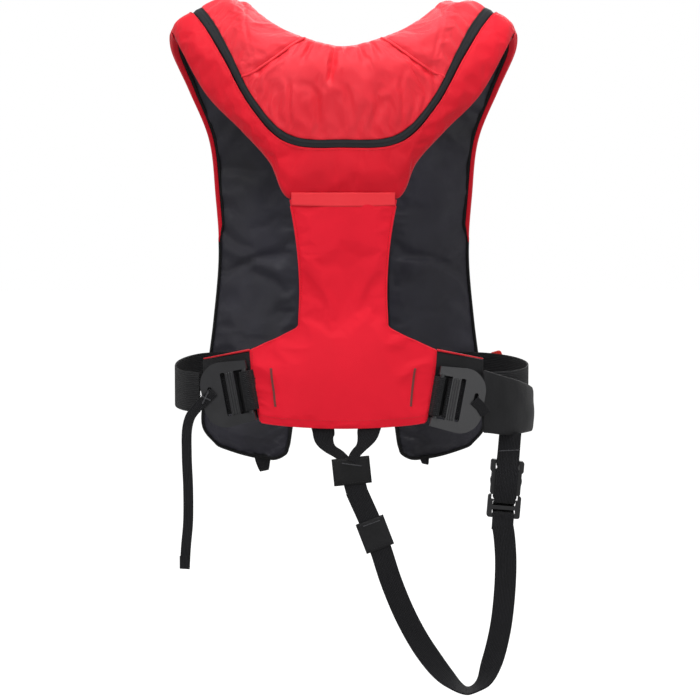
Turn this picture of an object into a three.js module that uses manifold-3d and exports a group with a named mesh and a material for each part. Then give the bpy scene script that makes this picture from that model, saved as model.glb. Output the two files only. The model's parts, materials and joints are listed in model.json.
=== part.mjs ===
// Inflatable life jacket as worn: an inflatable yoke round the neck with two front lobes, an
// hourglass back panel, an adjustable waist belt and a crotch strap.
// Millimetres. +Z is up, +Y is the way the wearer faces, +X is the wearer's right hand.
// The origin lies between the shoulders, on the line where the jacket rests on them.
import * as THREE from 'three';
import { LoftGeometry } from 'three/addons/geometries/LoftGeometry.js';
import { mergeVertices } from 'three/addons/utils/BufferGeometryUtils.js';
import Module from 'manifold-3d';

const wasm = await Module();
wasm.setup();

// ---------------------------------------------------------------- driving dimensions
const GAP = 0.3;             // between pieces that touch
const SHOULDER_HALF = 208;   // centre to the outer edge of a shoulder
const LOBE_DROP = 520;       // shoulder line down to the lobes' lowest edge
const FRONT_DEPTH = 114;     // shoulder line forward to the body side of a lobe
const BACK_DEPTH = 104;      // shoulder line back to the body side of the back panel

const LINING_T = 6;          // padded body-side layer
const COVER_T = 2.5;         // outer fabric with its backing
const COLLAR_PUFF = 18;      // rise of the packed collar over its own zip line
const LOBE_PUFF = 32;        // the same on the front lobes
const BAND_PUFF = 4;         // rise of the outer band

const ZIP_HALF = 5;          // half the zip's width
const ZIP_T = 1.4;

const WAIST_HALF = 52;       // half the back panel's width at its narrowest
const LUMBAR_HALF = 112;     // half the lumbar panel's width at its top corners
const LUMBAR_TAPER = 12;     // narrowing of the lumbar panel to its lower corners
const SEAM_Z = -186;         // seam between the shoulder yoke and the back panel
const FLARE_Z = -336;        // where the waist opens out
const LUMBAR_TOP_Z = -364;
const LUMBAR_BOTTOM_Z = -448;
const LUMBAR_SAG = 11;       // drop of the lumbar panel's lower edge at its middle
const SEAM_TAPE_W = 15;
const SEAM_TAPE_T = 0.8;

const BELT_W = 48;
const WEB_T = 2.2;           // thickness of the wide webbing
const BELT_BACK_Z = -416;    // middle of the belt at the adjusters
const BELT_FRONT_Z = -404;   // middle of the belt at the front buckle
const BELT_REACH_RIGHT = 226;
const BELT_REACH_LEFT = 208;
const BELT_END_X = 42;       // where the front webbing ends, from the centre

const ADJUSTER_L = 57;       // hinge bar to the rim of the pull flange
const ADJUSTER_H = 78;
const ADJUSTER_T = 4;
const ADJUSTER_BAR_R = 3;
const SLOT_H = BELT_W + 4;
const ADJUSTER_YAW = 15;     // degrees that the flange follows the body round
const ADJUSTER_LEAN = 11;    // degrees that its top leans outwards

const STRAP_W = 26;          // crotch strap
const STRAP_T = 1.8;
const TAPE_W = 12;           // narrow pull strap
const TAPE_T = 1.2;

const CLIP_W = 40;
const CLIP_T = 11;
const SOCKET_L = 42;
const PLUG_L = 28;

const CYLINDER_R = 14.5;     // gas cylinder
const CYLINDER_L = 118;
const INFLATOR_R = 21;
const INFLATOR_H = 22;
const ORAL_TUBE_R = 6;
const ORAL_TUBE_L = 76;

// ---------------------------------------------------------------- colours and names
const finish = (color, roughness, metalness = 0) =>
  new THREE.MeshStandardMaterial({ color, roughness, metalness });
const RED = finish(0xdc1528, 0.62);
const RED_TAPE = finish(0xe8343f, 0.45);
const BLACK_FABRIC = finish(0x17161b, 0.7);
const BLACK_MESH = finish(0x101014, 0.9);
const WEBBING = finish(0x121214, 0.75);
const ZIP_BLACK = finish(0x1c1e20, 0.5);
const PLASTIC = finish(0x1d1e20, 0.42);
const STEEL = finish(0xb9bcc0, 0.28, 1);
const ALUMINIUM = finish(0x9da1a6, 0.35, 1);
const BLADDER_YELLOW = finish(0xd6e02a, 0.5);
const SIGNAL_RED = finish(0xd8231c, 0.4);
const SIGNAL_YELLOW = finish(0xe9c414, 0.45);
const REFLECTIVE_GREY = finish(0x55585c, 0.35);

const jacket = new THREE.Group();
const right = new THREE.Group();
const left = new THREE.Group();
left.scale.x = -1;
jacket.add(right, left);

/** Puts one named mesh into a group. */
function add(group, name, geometry, material) {
  const mesh = new THREE.Mesh(geometry, material);
  mesh.name = name;
  group.add(mesh);
  return mesh;
}

/** Puts the same piece on the right and, mirrored, on the left. */
function addPair(name, geometry, material) {
  add(right, `${name}_right`, geometry, material);
  add(left, `${name}_left`, geometry, material);
}

// ---------------------------------------------------------------- geometry helpers
/** Volume inside a geometry's triangles, negative when they face inwards. */
function signedVolume(geometry) {
  const flat = geometry.index ? geometry.toNonIndexed() : geometry;
  const position = flat.getAttribute('position');
  const [a, b, c] = [new THREE.Vector3(), new THREE.Vector3(), new THREE.Vector3()];
  let sum = 0;
  for (let i = 0; i < position.count; i += 3) {
    a.fromBufferAttribute(position, i);
    b.fromBufferAttribute(position, i + 1);
    c.fromBufferAttribute(position, i + 2);
    sum += a.dot(b.cross(c)) / 6;
  }
  return sum;
}

/** A closed body through rings of points. */
function loft(rings) {
  const caps = { capStart: true, capEnd: true };
  const made = new LoftGeometry(rings, caps);
  if (signedVolume(made) > 0) return made;
  return new LoftGeometry(rings.map((ring) => [...ring].reverse()), caps);
}

/** Evenly spaced values from a to b, both included. */
const steps = (a, b, count) =>
  Array.from({ length: count + 1 }, (_, i) => a + ((b - a) * i) / count);

const lerp = THREE.MathUtils.lerp;
const rad = THREE.MathUtils.degToRad;

/** A geometry as a manifold-3d solid. */
function solidOf(geometry) {
  const bare = geometry.index ? geometry.toNonIndexed() : geometry.clone();
  bare.deleteAttribute('normal');
  bare.deleteAttribute('uv');
  const merged = mergeVertices(bare, 1e-4);
  return new wasm.Manifold(new wasm.Mesh({
    numProp: 3,
    vertProperties: new Float32Array(merged.attributes.position.array),
    triVerts: new Uint32Array(merged.index.array),
  }));
}

/** A manifold-3d solid as a geometry. */
function geometryOf(solid) {
  const mesh = solid.getMesh();
  return new THREE.BufferGeometry()
    .setAttribute('position', new THREE.BufferAttribute(mesh.vertProperties, 3))
    .setIndex(new THREE.BufferAttribute(mesh.triVerts, 1));
}

/** One geometry less others. */
const cut = (body, ...tools) =>
  geometryOf(tools.reduce((s, tool) => s.subtract(solidOf(tool)), solidOf(body)));

/** Several geometries as one. */
const join = (body, ...others) =>
  geometryOf(others.reduce((s, other) => s.add(solidOf(other)), solidOf(body)));

/** A box between two corners. */
function boxBetween(x0, x1, y0, y1, z0, z1) {
  return new THREE.BoxGeometry(x1 - x0, y1 - y0, z1 - z0)
    .translate((x0 + x1) / 2, (y0 + y1) / 2, (z0 + z1) / 2);
}

/** A rectangle with round corners, as a shape or a hole. */
function roundRect(Kind, x0, x1, y0, y1, radius) {
  const outline = new Kind();
  outline.moveTo(x0 + radius, y0);
  outline.lineTo(x1 - radius, y0);
  outline.absarc(x1 - radius, y0 + radius, radius, -Math.PI / 2, 0);
  outline.absarc(x1 - radius, y1 - radius, radius, 0, Math.PI / 2);
  outline.absarc(x0 + radius, y1 - radius, radius, Math.PI / 2, Math.PI);
  outline.absarc(x0 + radius, y0 + radius, radius, Math.PI, Math.PI * 1.5);
  return outline;
}

/** A shape extruded from z0 to z1. */
function plate(shape, z0, z1, curveSegments = 4) {
  return new THREE.ExtrudeGeometry(shape, { depth: z1 - z0, bevelEnabled: false, curveSegments })
    .translate(0, 0, z0);
}

/**
 * Webbing along a curve. `widthAt` gives the direction across the webbing at a share of the way.
 */
function ribbon(curve, width, thickness, count, widthAt) {
  return loft(steps(0, 1, count).map((t) => {
    const middle = curve.getPoint(t);
    const tangent = curve.getTangent(t);
    const across = widthAt(t, tangent).clone();
    across.addScaledVector(tangent, -across.dot(tangent)).normalize();
    const face = tangent.clone().cross(across).normalize();
    return [[-1, -1], [1, -1], [1, 1], [-1, 1]].map(([a, b]) => middle.clone()
      .addScaledVector(across, (a * width) / 2)
      .addScaledVector(face, (b * thickness) / 2));
  }));
}

/** A flat strip along a path in the x-z plane, as deep as the webbing is wide in y. */
function foldedStrip(points, thickness, width, count) {
  const path = new THREE.CatmullRomCurve3(
    points.map(([x, z]) => new THREE.Vector3(x, 0, z)), false, 'chordal');
  return ribbon(path, width, thickness, count, () => new THREE.Vector3(0, 1, 0));
}

// ---------------------------------------------------------------- the yoke's own surface
// Stations run from the middle of the back over the shoulder and down a lobe. Each has the inner
// (neck) edge and the outer edge on the body side, and the zip line on the outer side. The points
// are laid out for the sizes below and follow the driving dimensions.
const LAID_OUT = { half: 208, drop: 520, front: 114, back: 104 };

function laid([x, y, z]) {
  return new THREE.Vector3(
    (x * SHOULDER_HALF) / LAID_OUT.half,
    y < 0 ? (y * BACK_DEPTH) / LAID_OUT.back : (y * FRONT_DEPTH) / LAID_OUT.front,
    (z * LOBE_DROP) / LAID_OUT.drop,
  );
}

const NECK_EDGE = [
  [0, -90, -10], [26, -88, -9], [50, -79, -4], [70, -64, 3], [86, -44, 10], [97, -22, 17],
  [102, 2, 20], [101, 30, 10], [93, 62, -28], [76, 92, -95], [61, 108, -175], [56, 114, -255],
  [56, 114, -340], [59, 110, -420], [65, 104, -496], [86, 103, -519],
];
const ZIP_LINE = [
  [0, -113, -121.6], [46, -112, -121], [84, -107, -104], [108, -98, -69], [134, -77, -19],
  [158, -43, 18], [179, -5, 43], [190, 38, 26], [178, 88, -38], [158, 126, -108],
  [147, 142, -180], [143, 148, -255], [149, 146, -340], [159, 140, -420], [163, 128, -478],
  [148, 118, -500],
];
const OUTER_EDGE = [
  [0, -104, -186], [64, -99, -186], [86, -95, -143.6], [118, -86, -108], [160, -64, -66],
  [194, -34, -10], [208, -2, 13], [211, 36, -4], [193, 80, -50], [170, 106, -110],
  [163, 120, -180], [159, 126, -255], [166, 125, -340], [176, 120, -420], [180, 113, -476],
  [162, 111, -499],
];
const LAST = NECK_EDGE.length - 1;

/** A curve through a right-hand list of stations and its mirror image on the left. */
function bothSides(list) {
  const rightHand = list.map(laid);
  const leftHand = rightHand.slice(1).reverse().map((p) => new THREE.Vector3(-p.x, p.y, p.z));
  return new THREE.CatmullRomCurve3([...leftHand, ...rightHand]);
}

const neckCurve = bothSides(NECK_EDGE);
const zipCurve = bothSides(ZIP_LINE);
const outerCurve = bothSides(OUTER_EDGE);
const seamZ = (SEAM_Z * LOBE_DROP) / LAID_OUT.drop;

/** Share of the way at a station: 0 is the middle of the back, 1 the right lobe's end. */
const station = (k) => k / LAST;
const COVER_TOP = LINING_T + GAP + COVER_T;

/** The local frame of the yoke at share s, from -1 (left lobe's end) to 1 (right lobe's end). */
function yokeFrame(s) {
  const share = (s + 1) / 2;
  const small = 0.002;
  const neck = neckCurve.getPoint(share);
  const outer = outerCurve.getPoint(share);
  if (Math.abs(s) < station(1)) outer.z = seamZ;
  const middle = (t) => neckCurve.getPoint(t).add(zipCurve.getPoint(t));
  const ahead = middle(Math.min(1, share + small)).sub(middle(Math.max(0, share - small)));
  const across = outer.clone().sub(neck);
  const width = across.length();
  across.normalize();
  const out = across.clone().cross(ahead).normalize();
  const toZip = zipCurve.getPoint(share).sub(neck);
  const end = THREE.MathUtils.clamp((Math.abs(s) - 0.93) / 0.07, 0, 1);
  const closing = Math.sqrt(Math.max(0, 1 - end * end));
  const onLobe = THREE.MathUtils.smoothstep(Math.abs(s), station(6), station(9));
  return {
    neck, across, out, width,
    zipQ: toZip.dot(across),
    zipH: COVER_TOP + (toZip.dot(out) - COVER_TOP) * closing,
    puff: lerp(COLLAR_PUFF, LOBE_PUFF, onLobe) * closing,
    at: (q, h) => neck.clone().addScaledVector(across, q).addScaledVector(out, h),
  };
}

/** Height of the cover's outside at share u of the way from the neck edge to the zip. */
function coverHeight(frame, u) {
  const swell = (u ** 0.6) * (1 - u) * 2.88;
  return lerp(COVER_TOP, frame.zipH, u) + frame.puff * swell;
}

/** Points (q, h) of a line moved to its inner side by t. */
function offsetLine(line, t) {
  return line.map(([q, h], i) => {
    const [q0, h0] = line[Math.max(0, i - 1)];
    const [q1, h1] = line[Math.min(line.length - 1, i + 1)];
    const length = Math.hypot(q1 - q0, h1 - h0);
    return [q + ((h1 - h0) / length) * t, h - ((q1 - q0) / length) * t];
  });
}

/** A layer between a line of (q, h) points and the same line moved inwards, as a ring. */
function layerRing(frame, line, thickness) {
  const inner = offsetLine(line, thickness)
    .map(([q, h]) => [q, Math.max(h, LINING_T + GAP)]);
  return [...line, ...inner.reverse()].map(([q, h]) => frame.at(q, h));
}

/** The cover's section, from the neck edge to the zip. */
function coverLine(frame, count) {
  const end = 1 - (ZIP_HALF + GAP) / frame.zipQ;
  return steps(0, 1, count).map((x) => {
    const u = end * x ** 1.4;
    return [u * frame.zipQ, coverHeight(frame, u)];
  });
}

/** The outer band's section, from the zip to the outer edge, as far as share w1. */
function bandLine(frame, count, puff) {
  const rise = [frame.width - frame.zipQ, COVER_TOP - frame.zipH];
  const length = Math.hypot(...rise);
  const start = (ZIP_HALF + GAP) / length;
  return steps(start, 1, count).map((w) => {
    const swell = puff * 4 * w * (1 - w);
    return [
      frame.zipQ + rise[0] * w - (rise[1] / length) * swell,
      frame.zipH + rise[1] * w + (rise[0] / length) * swell,
    ];
  });
}

/** Half the gap that two neighbouring panels leave, as a share of the way. */
const SEAM_GAP = 0.0007;
const COLLAR_END = station(4.6);    // dart seam between the collar and the shoulder panels
const CHEST_END = station(10.5);    // where the lobes' red gives way to black
const BAND_END = station(11);       // the same on the outer band
const LINING_SPLIT = station(5.6);
const ZIP_END = 0.975;
const BLADDER_END = station(11.2);  // the inflator and the oral tube have the room below it
const SEAMS = [COLLAR_END, CHEST_END, BAND_END, LINING_SPLIT, ZIP_END, BLADDER_END];

/** Stations that every layer shares, so that neighbours bend alike. */
function sharedStations() {
  const fixed = SEAMS.flatMap((s) => [s - SEAM_GAP, s + SEAM_GAP]);
  const even = steps(0, 1, 27).filter((s) => fixed.every((f) => Math.abs(f - s) > 0.012));
  const rightHand = [...even, ...fixed].sort((a, b) => a - b);
  return [...rightHand.filter((s) => s > 0).map((s) => -s).reverse(), ...rightHand];
}

const STATIONS = sharedStations();

/** A layer of the yoke between two shares of the way. */
function yokeLayer(s0, s1, ringAt) {
  const inside = STATIONS.filter((s) => s > s0 - SEAM_GAP / 2 && s < s1 + SEAM_GAP / 2);
  return loft(inside.map((s) => ringAt(yokeFrame(s))));
}

const cover = (s0, s1) => yokeLayer(s0, s1, (f) => layerRing(f, coverLine(f, 6), COVER_T));
const band = (s0, s1) => yokeLayer(s0, s1, (f) => layerRing(f, bandLine(f, 3, BAND_PUFF), COVER_T));
const lining = (s0, s1) => yokeLayer(s0, s1, (f) => [
  ...steps(0, f.width, 3).map((q) => f.at(q, 0)),
  ...steps(f.width, 0, 3).map((q) => f.at(q, LINING_T)),
]);

add(jacket, 'collar_cover', cover(-COLLAR_END + SEAM_GAP, COLLAR_END - SEAM_GAP), RED);
addPair('shoulder_cover', cover(COLLAR_END + SEAM_GAP, CHEST_END - SEAM_GAP), RED);
addPair('lobe_cover', cover(CHEST_END + SEAM_GAP, 1), BLACK_FABRIC);
add(jacket, 'shoulder_yoke', band(-BAND_END + SEAM_GAP, BAND_END - SEAM_GAP), RED);
add(jacket, 'collar_lining', lining(-LINING_SPLIT + SEAM_GAP, LINING_SPLIT - SEAM_GAP), BLACK_MESH);
addPair('lobe_lining', lining(LINING_SPLIT + SEAM_GAP, 1), BLACK_FABRIC);

// ---------------------------------------------------------------- zip
const ZIP_RISE = 0.7;   // the teeth stand this far over the covers

/** The zip's section: it bends at its teeth from the cover's slope to the band's. */
function zipRing(frame) {
  const end = 1 - ZIP_HALF / frame.zipQ;
  const inner = [end * frame.zipQ, coverHeight(frame, end)];
  const middle = [frame.zipQ, frame.zipH + ZIP_RISE];
  const rise = [frame.width - frame.zipQ, COVER_TOP - frame.zipH];
  const length = Math.hypot(...rise);
  const outer = [
    frame.zipQ + (rise[0] / length) * ZIP_HALF,
    frame.zipH + (rise[1] / length) * ZIP_HALF,
  ];
  const line = [inner, middle, outer];
  return [...line, ...offsetLine(line, ZIP_T).reverse()].map(([q, h]) => frame.at(q, h));
}

add(jacket, 'zip', yokeLayer(-ZIP_END + SEAM_GAP, ZIP_END - SEAM_GAP, zipRing), ZIP_BLACK);

/** A group that stands on the zip at share s: x outwards, y down the lobe, z off the surface. */
function onZip(s) {
  const here = yokeFrame(s);
  const next = yokeFrame(s + 0.01);
  const place = here.at(here.zipQ, here.zipH + ZIP_RISE);
  const ahead = next.at(next.zipQ, next.zipH + ZIP_RISE).sub(place).normalize();
  const outwards = here.across.clone().addScaledVector(here.out, -0.35);
  outwards.addScaledVector(ahead, -outwards.dot(ahead)).normalize();
  const up = outwards.clone().cross(ahead).normalize();
  const group = new THREE.Group();
  group.applyMatrix4(new THREE.Matrix4().makeBasis(outwards, ahead, up).setPosition(place));
  return group;
}

const SLIDER_AT = station(12.6);
const SLIDER_LIFT = 1.5;
const SLIDER_T = 3;
const TAB_PIN_R = 1;
const tabPinZ = SLIDER_LIFT + SLIDER_T + TAB_PIN_R + 1;
const bridgeZ = tabPinZ + TAB_PIN_R + 0.8;

/** Slider body with the bridge that holds its pull tab. */
function sliderBody() {
  const body = plate(roundRect(THREE.Shape, -4.5, 4.5, -7, 7, 3), SLIDER_LIFT, SLIDER_LIFT + SLIDER_T);
  const ear = (y0, y1) =>
    boxBetween(-1.6, 1.6, y0, y1, SLIDER_LIFT + SLIDER_T - 0.5, bridgeZ + 1);
  const top = boxBetween(-1.6, 1.6, -4.5, 4.5, bridgeZ, bridgeZ + 1);
  return join(body, ear(-4.5, -3), ear(3, 4.5), top);
}

/** Pull tab: a ring round the bridge with a flat cord tag under it. */
function sliderTab() {
  const outline = roundRect(THREE.Shape, -5, 5, -1.2, 34, 2.5);
  outline.holes.push(roundRect(THREE.Path, -2.4, 2.4, 1, 8, 0.4));
  return plate(outline, -TAB_PIN_R, TAB_PIN_R, 3);
}

for (const [side, name] of [[right, 'right'], [left, 'left']]) {
  const slider = onZip(SLIDER_AT);
  add(slider, `zip_slider_${name}`, sliderBody(), PLASTIC);
  const tab = add(slider, `zip_pull_${name}`, sliderTab(), PLASTIC);
  tab.position.set(0, -1.3, tabPinZ);
  side.add(slider);
}

// ---------------------------------------------------------------- bladder
const BLADDER_EDGE = 0.17;           // share of the width left free at each edge

/** The folded bladder fills the room between lining and cover. */
function bladderRing(frame) {
  const shares = steps(BLADDER_EDGE, 1 - BLADDER_EDGE, 4);
  const floor = LINING_T + 2.8;
  const upper = shares.map((u) => [
    u * frame.zipQ, Math.max(floor + 3, coverHeight(frame, u) - COVER_T - 3.4)]);
  const lower = shares.map((u) => [u * frame.zipQ, floor]).reverse();
  return [...upper, ...lower].map(([q, h]) => frame.at(q, h));
}

add(jacket, 'bladder', yokeLayer(-BLADDER_END + SEAM_GAP, BLADDER_END - SEAM_GAP, bladderRing), BLADDER_YELLOW);

// ---------------------------------------------------------------- back panel
/** Body side of the back at x and z. */
function backY(x, z) {
  const hollow = 8 * Math.exp(-(((z - FLARE_Z - 40) / 70) ** 2));
  return -BACK_DEPTH + hollow + 0.0012 * x * x;
}

/** Half the back panel's width at height z. */
const panelHalf = new THREE.CatmullRomCurve3([
  [outerCurve.getPoint((1 + station(1)) / 2).x, seamZ], [58.5, -215], [WAIST_HALF + 2, -250],
  [WAIST_HALF, -294], [WAIST_HALF + 2, FLARE_Z],
].map(([x, z]) => new THREE.Vector3(x, 0, z)));

/** The rows of the back panel from the yoke seam to its lower edge: height and half width. */
function panelRows() {
  const waist = steps(0, 1, 8).map((t) => panelHalf.getPoint(t)).map((p) => [p.z, p.x]);
  waist[0][0] -= GAP;
  const flare = steps(0, 1, 3).slice(1).map((t) => [
    lerp(FLARE_Z, LUMBAR_TOP_Z, t), lerp(WAIST_HALF + 2, LUMBAR_HALF, t)]);
  const lumbar = steps(0, 1, 4).slice(1).map((t) => [
    lerp(LUMBAR_TOP_Z, LUMBAR_BOTTOM_Z, t), lumbarHalf(lerp(LUMBAR_TOP_Z, LUMBAR_BOTTOM_Z, t))]);
  return [...waist, ...flare, ...lumbar];
}

/** Half the lumbar panel's width at height z. */
function lumbarHalf(z) {
  const share = (LUMBAR_TOP_Z - z) / (LUMBAR_TOP_Z - LUMBAR_BOTTOM_Z);
  return LUMBAR_HALF - LUMBAR_TAPER * share ** 1.5;
}

/** One layer of the back panel, `low` to `high` off the body side, kept `inset` from the edge. */
function panelLayer(low, high, inset) {
  const rows = panelRows();
  return loft(rows.map(([z, half], row) => {
    const drop = LUMBAR_SAG * Math.max(0, (row - 12) / (rows.length - 13));
    const line = steps(-1, 1, 8);
    const point = (share, h) => {
      const x = share * (half - inset);
      const height = z - drop * (1 - share * share)
        + (row === rows.length - 1 ? inset : 0);
      return new THREE.Vector3(x, backY(x, height) - h, height);
    };
    return [...line.map((u) => point(u, low)), ...[...line].reverse().map((u) => point(u, high))];
  }));
}

add(jacket, 'back_mesh_pad', panelLayer(0, LINING_T - 0.4, 1.5), BLACK_MESH);
add(jacket, 'back_panel', panelLayer(LINING_T + GAP, COVER_TOP, 0), RED);

/** The bonded tape over the seam between the yoke and the back panel. */
function seamTape() {
  const reach = outerCurve.getPoint((1 + station(1)) / 2).x - 3;
  const [top, bottom] = [COVER_TOP + BAND_PUFF * 0.6, COVER_TOP + GAP * 2];
  return loft(steps(-reach, reach, 8).map((x) => [
    [top, seamZ + SEAM_TAPE_W / 2], [top + SEAM_TAPE_T, seamZ + SEAM_TAPE_W / 2],
    [bottom + SEAM_TAPE_T, seamZ - SEAM_TAPE_W / 2], [bottom, seamZ - SEAM_TAPE_W / 2],
  ].map(([off, z]) => new THREE.Vector3(x, backY(x, seamZ) - off, z))));
}

add(jacket, 'seam_tape', seamTape(), RED_TAPE);

// ---------------------------------------------------------------- waist belt
/** The middle of the belt round one side, from the adjuster to the front, as a plan curve. */
function waistCurve(reach) {
  const between = (share) => lerp(172, reach, share);
  return new THREE.CatmullRomCurve3([
    [172, -79], [between(0.5), -60], [between(0.86), -30], [reach, 8], [between(0.94), 46],
    [between(0.62), 84], [178, 108], [150, 113.2], [110, 110.4], [72, 107.6], [BELT_END_X, 106],
  ].map(([x, y]) => new THREE.Vector3(x, (y * FRONT_DEPTH) / LAID_OUT.front, 0)));
}

/** Middle of the belt at share t of the waist line, moved off the body by `off`. */
function onBelt(line, t, off = 0) {
  const place = line.getPointAt(t);
  const tangent = line.getTangentAt(t);
  const z = lerp(BELT_BACK_Z, BELT_FRONT_Z, THREE.MathUtils.smoothstep(t, 0.05, 0.7));
  return new THREE.Vector3(place.x + tangent.y * off, place.y - tangent.x * off, z);
}

/** Belt webbing over the whole waist line. */
function beltWebbing(reach) {
  const line = waistCurve(reach);
  const path = new THREE.CatmullRomCurve3(steps(0, 1, 26).map((t) => onBelt(line, t)));
  return ribbon(path, BELT_W, WEB_T, 28, () => new THREE.Vector3(0, 0, 1));
}

add(right, 'waist_belt_right', beltWebbing(BELT_REACH_RIGHT), WEBBING);
add(left, 'waist_belt_left', beltWebbing(BELT_REACH_LEFT), WEBBING);

/** A curved block on the belt's outer face between shares t0 and t1. */
function beltPatch(reach, t0, t1, near, far, top, bottom, count = 6) {
  const line = waistCurve(reach);
  return loft(steps(t0, t1, count).map((t) => {
    const [low, high] = [onBelt(line, t, near), onBelt(line, t, far)];
    return [[low, top], [high, top], [high, bottom], [low, bottom]]
      .map(([p, z]) => new THREE.Vector3(p.x, p.y, z));
  }));
}

/** Black wing that carries the adjuster: it runs from the lumbar panel round the side. */
function lumbarWing() {
  const far = LUMBAR_HALF + 56;
  return loft(steps(0, 1, 5).map((t) => {
    const point = (z, h) => {
      const x = lerp(lumbarHalf(z) + GAP, far, t);
      return new THREE.Vector3(x, backY(x, BELT_BACK_Z) - h, z);
    };
    const top = lerp(LUMBAR_TOP_Z - 1, LUMBAR_TOP_Z - 13, t);
    const bottom = lerp(LUMBAR_BOTTOM_Z + 4, LUMBAR_BOTTOM_Z + 16, t);
    return [point(top, 1), point(top, 4), point(bottom, 4), point(bottom, 1)];
  }));
}

addPair('lumbar_wing', lumbarWing(), BLACK_FABRIC);

// ---------------------------------------------------------------- adjusters
const BAR_FACE = 13;      // nearer side of the toothed bar, from the hinge bar
const BAR_DEPTH = 11;
const OUTER_SLOT = 6;
const NOTCH = { x: 46, y: 5, w: 2.6, h: 7 };

/** Frame of an adjuster: hinge bar at the origin, x to the flange, y up, z off the body. */
function adjusterFrame(hingeX, hingeZ) {
  const yaw = rad(ADJUSTER_YAW);
  const lean = rad(ADJUSTER_LEAN);
  const level = new THREE.Vector3(Math.cos(yaw), Math.sin(yaw), 0);
  const up = new THREE.Vector3(0, 0, 1);
  const x = level.clone().multiplyScalar(Math.cos(lean)).addScaledVector(up, -Math.sin(lean));
  const y = up.clone().multiplyScalar(Math.cos(lean)).addScaledVector(level, Math.sin(lean));
  const z = x.clone().cross(y);
  const hinge = new THREE.Vector3(hingeX, backY(hingeX, hingeZ) - 13.5, hingeZ);
  const group = new THREE.Group();
  group.applyMatrix4(new THREE.Matrix4().makeBasis(x, y, z).setPosition(hinge));
  return group;
}

/** Ladder buckle with a round hinge bar, a toothed bar and a D-shaped pull flange. */
function adjusterBody() {
  const half = ADJUSTER_H / 2;
  const slot = SLOT_H / 2;
  const big = 27;
  const outline = new THREE.Shape();
  outline.moveTo(-4, -half + 3);
  outline.lineTo(ADJUSTER_L - big, -half);
  outline.absarc(ADJUSTER_L - big, -half + big, big, -Math.PI / 2, 0);
  outline.absarc(ADJUSTER_L - big, half - big, big, 0, Math.PI / 2);
  outline.lineTo(-4, half - 3);
  outline.holes.push(roundRect(THREE.Path,
    BAR_FACE + BAR_DEPTH, BAR_FACE + BAR_DEPTH + OUTER_SLOT, -slot, slot, 2));
  outline.holes.push(roundRect(THREE.Path,
    NOTCH.x - NOTCH.w, NOTCH.x + NOTCH.w, NOTCH.y - NOTCH.h, NOTCH.y + NOTCH.h, 2.4));
  const flat = cut(plate(outline, -ADJUSTER_T / 2, ADJUSTER_T / 2, 6),
    boxBetween(-6, BAR_FACE, -slot, slot, -ADJUSTER_T, ADJUSTER_T));
  return join(flat, new THREE.CylinderGeometry(ADJUSTER_BAR_R, ADJUSTER_BAR_R, SLOT_H + 2, 12));
}

/** Webbing loop that holds the hinge bar to the edge of the lumbar panel. */
function anchorLoop(reachBack) {
  const r = ADJUSTER_BAR_R + GAP + WEB_T / 2;
  const arc = steps(-80, 80, 6).map((a) => [r * Math.cos(rad(a)), r * Math.sin(rad(a))]);
  return foldedStrip([[-reachBack, -1.6], [-4.5, -r + 0.9], ...arc, [-4.5, r - 0.9],
    [-reachBack, 1.6]], WEB_T, BELT_W, 20);
}

const THREAD_T = WEB_T - 0.4;

/** The belt's end, threaded round the toothed bar and back under the flange. */
function beltThread() {
  const under = -ADJUSTER_T / 2 - GAP - THREAD_T / 2;
  const over = ADJUSTER_T / 2 + GAP + THREAD_T / 2;
  const inX = BAR_FACE - GAP - THREAD_T / 2;
  const outX = BAR_FACE + BAR_DEPTH + GAP + THREAD_T / 2;
  const deep = under - THREAD_T - 0.8;
  return foldedStrip([
    [ADJUSTER_L - 8, deep - 1], [32, deep - 0.4], [inX + 5, deep], [inX + 1.7, deep + 0.2],
    [inX - 0.2, under - 0.8], [inX - 0.4, -1.5], [inX - 0.2, 1.5], [inX + 0.4, over - 0.2],
    [inX + 2.2, over + 0.5], [inX + 5, over + 0.2], [outX - 5, over + 0.2],
    [outX - 2.2, over + 0.5], [outX - 0.4, over - 0.2], [outX + 0.2, 1.5], [outX + 0.1, -0.5],
    [outX + 1.4, under + 0.6], [outX + 4.3, under - 0.4], [outX + 8, under - 0.1],
    [ADJUSTER_L - 10, under - 0.1],
  ], THREAD_T, BELT_W - 0.5, 48);
}

const ADJUSTERS = [
  { side: right, name: 'right', x: 112.5, z: BELT_BACK_Z - 3 },
  { side: left, name: 'left', x: 113, z: BELT_BACK_Z + 4 },
];
for (const { side, name, x, z } of ADJUSTERS) {
  const frame = adjusterFrame(x, z);
  add(frame, `adjuster_${name}`, adjusterBody(), PLASTIC);
  const reachBack = x - lumbarHalf(z) - 1.2;
  add(frame, `adjuster_anchor_${name}`, anchorLoop(reachBack), WEBBING);
  add(frame, `belt_thread_${name}`, beltThread(), WEBBING);
  side.add(frame);
}

/** Narrow strap hanging from the flange of the left adjuster, and a short one on the right. */
function hangingTape(points, count) {
  const path = new THREE.CatmullRomCurve3(points.map((p) => new THREE.Vector3(...p)));
  return ribbon(path, TAPE_W, TAPE_T, count, (t, tangent) =>
    tangent.clone().cross(new THREE.Vector3(0, 1, 0)));
}

const PULL_STRAP = [
  [-154, -94.9, -414], [-165, -92, -424.6], [-174, -91, -433.5], [-181.5, -91, -443.5],
  [-185.5, -91.5, -458], [-186, -93, -490], [-184.5, -94, -530], [-184.8, -94, -570],
  [-187.5, -94, -600], [-189, -94, -626],
];
add(jacket, 'pull_strap_left', hangingTape(PULL_STRAP, 24), WEBBING);
add(jacket, 'pull_strap_right', hangingTape(
  [[155.5, -94.6, -424], [163.5, -92.4, -432], [169.5, -91.6, -441]], 6), WEBBING);

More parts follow.
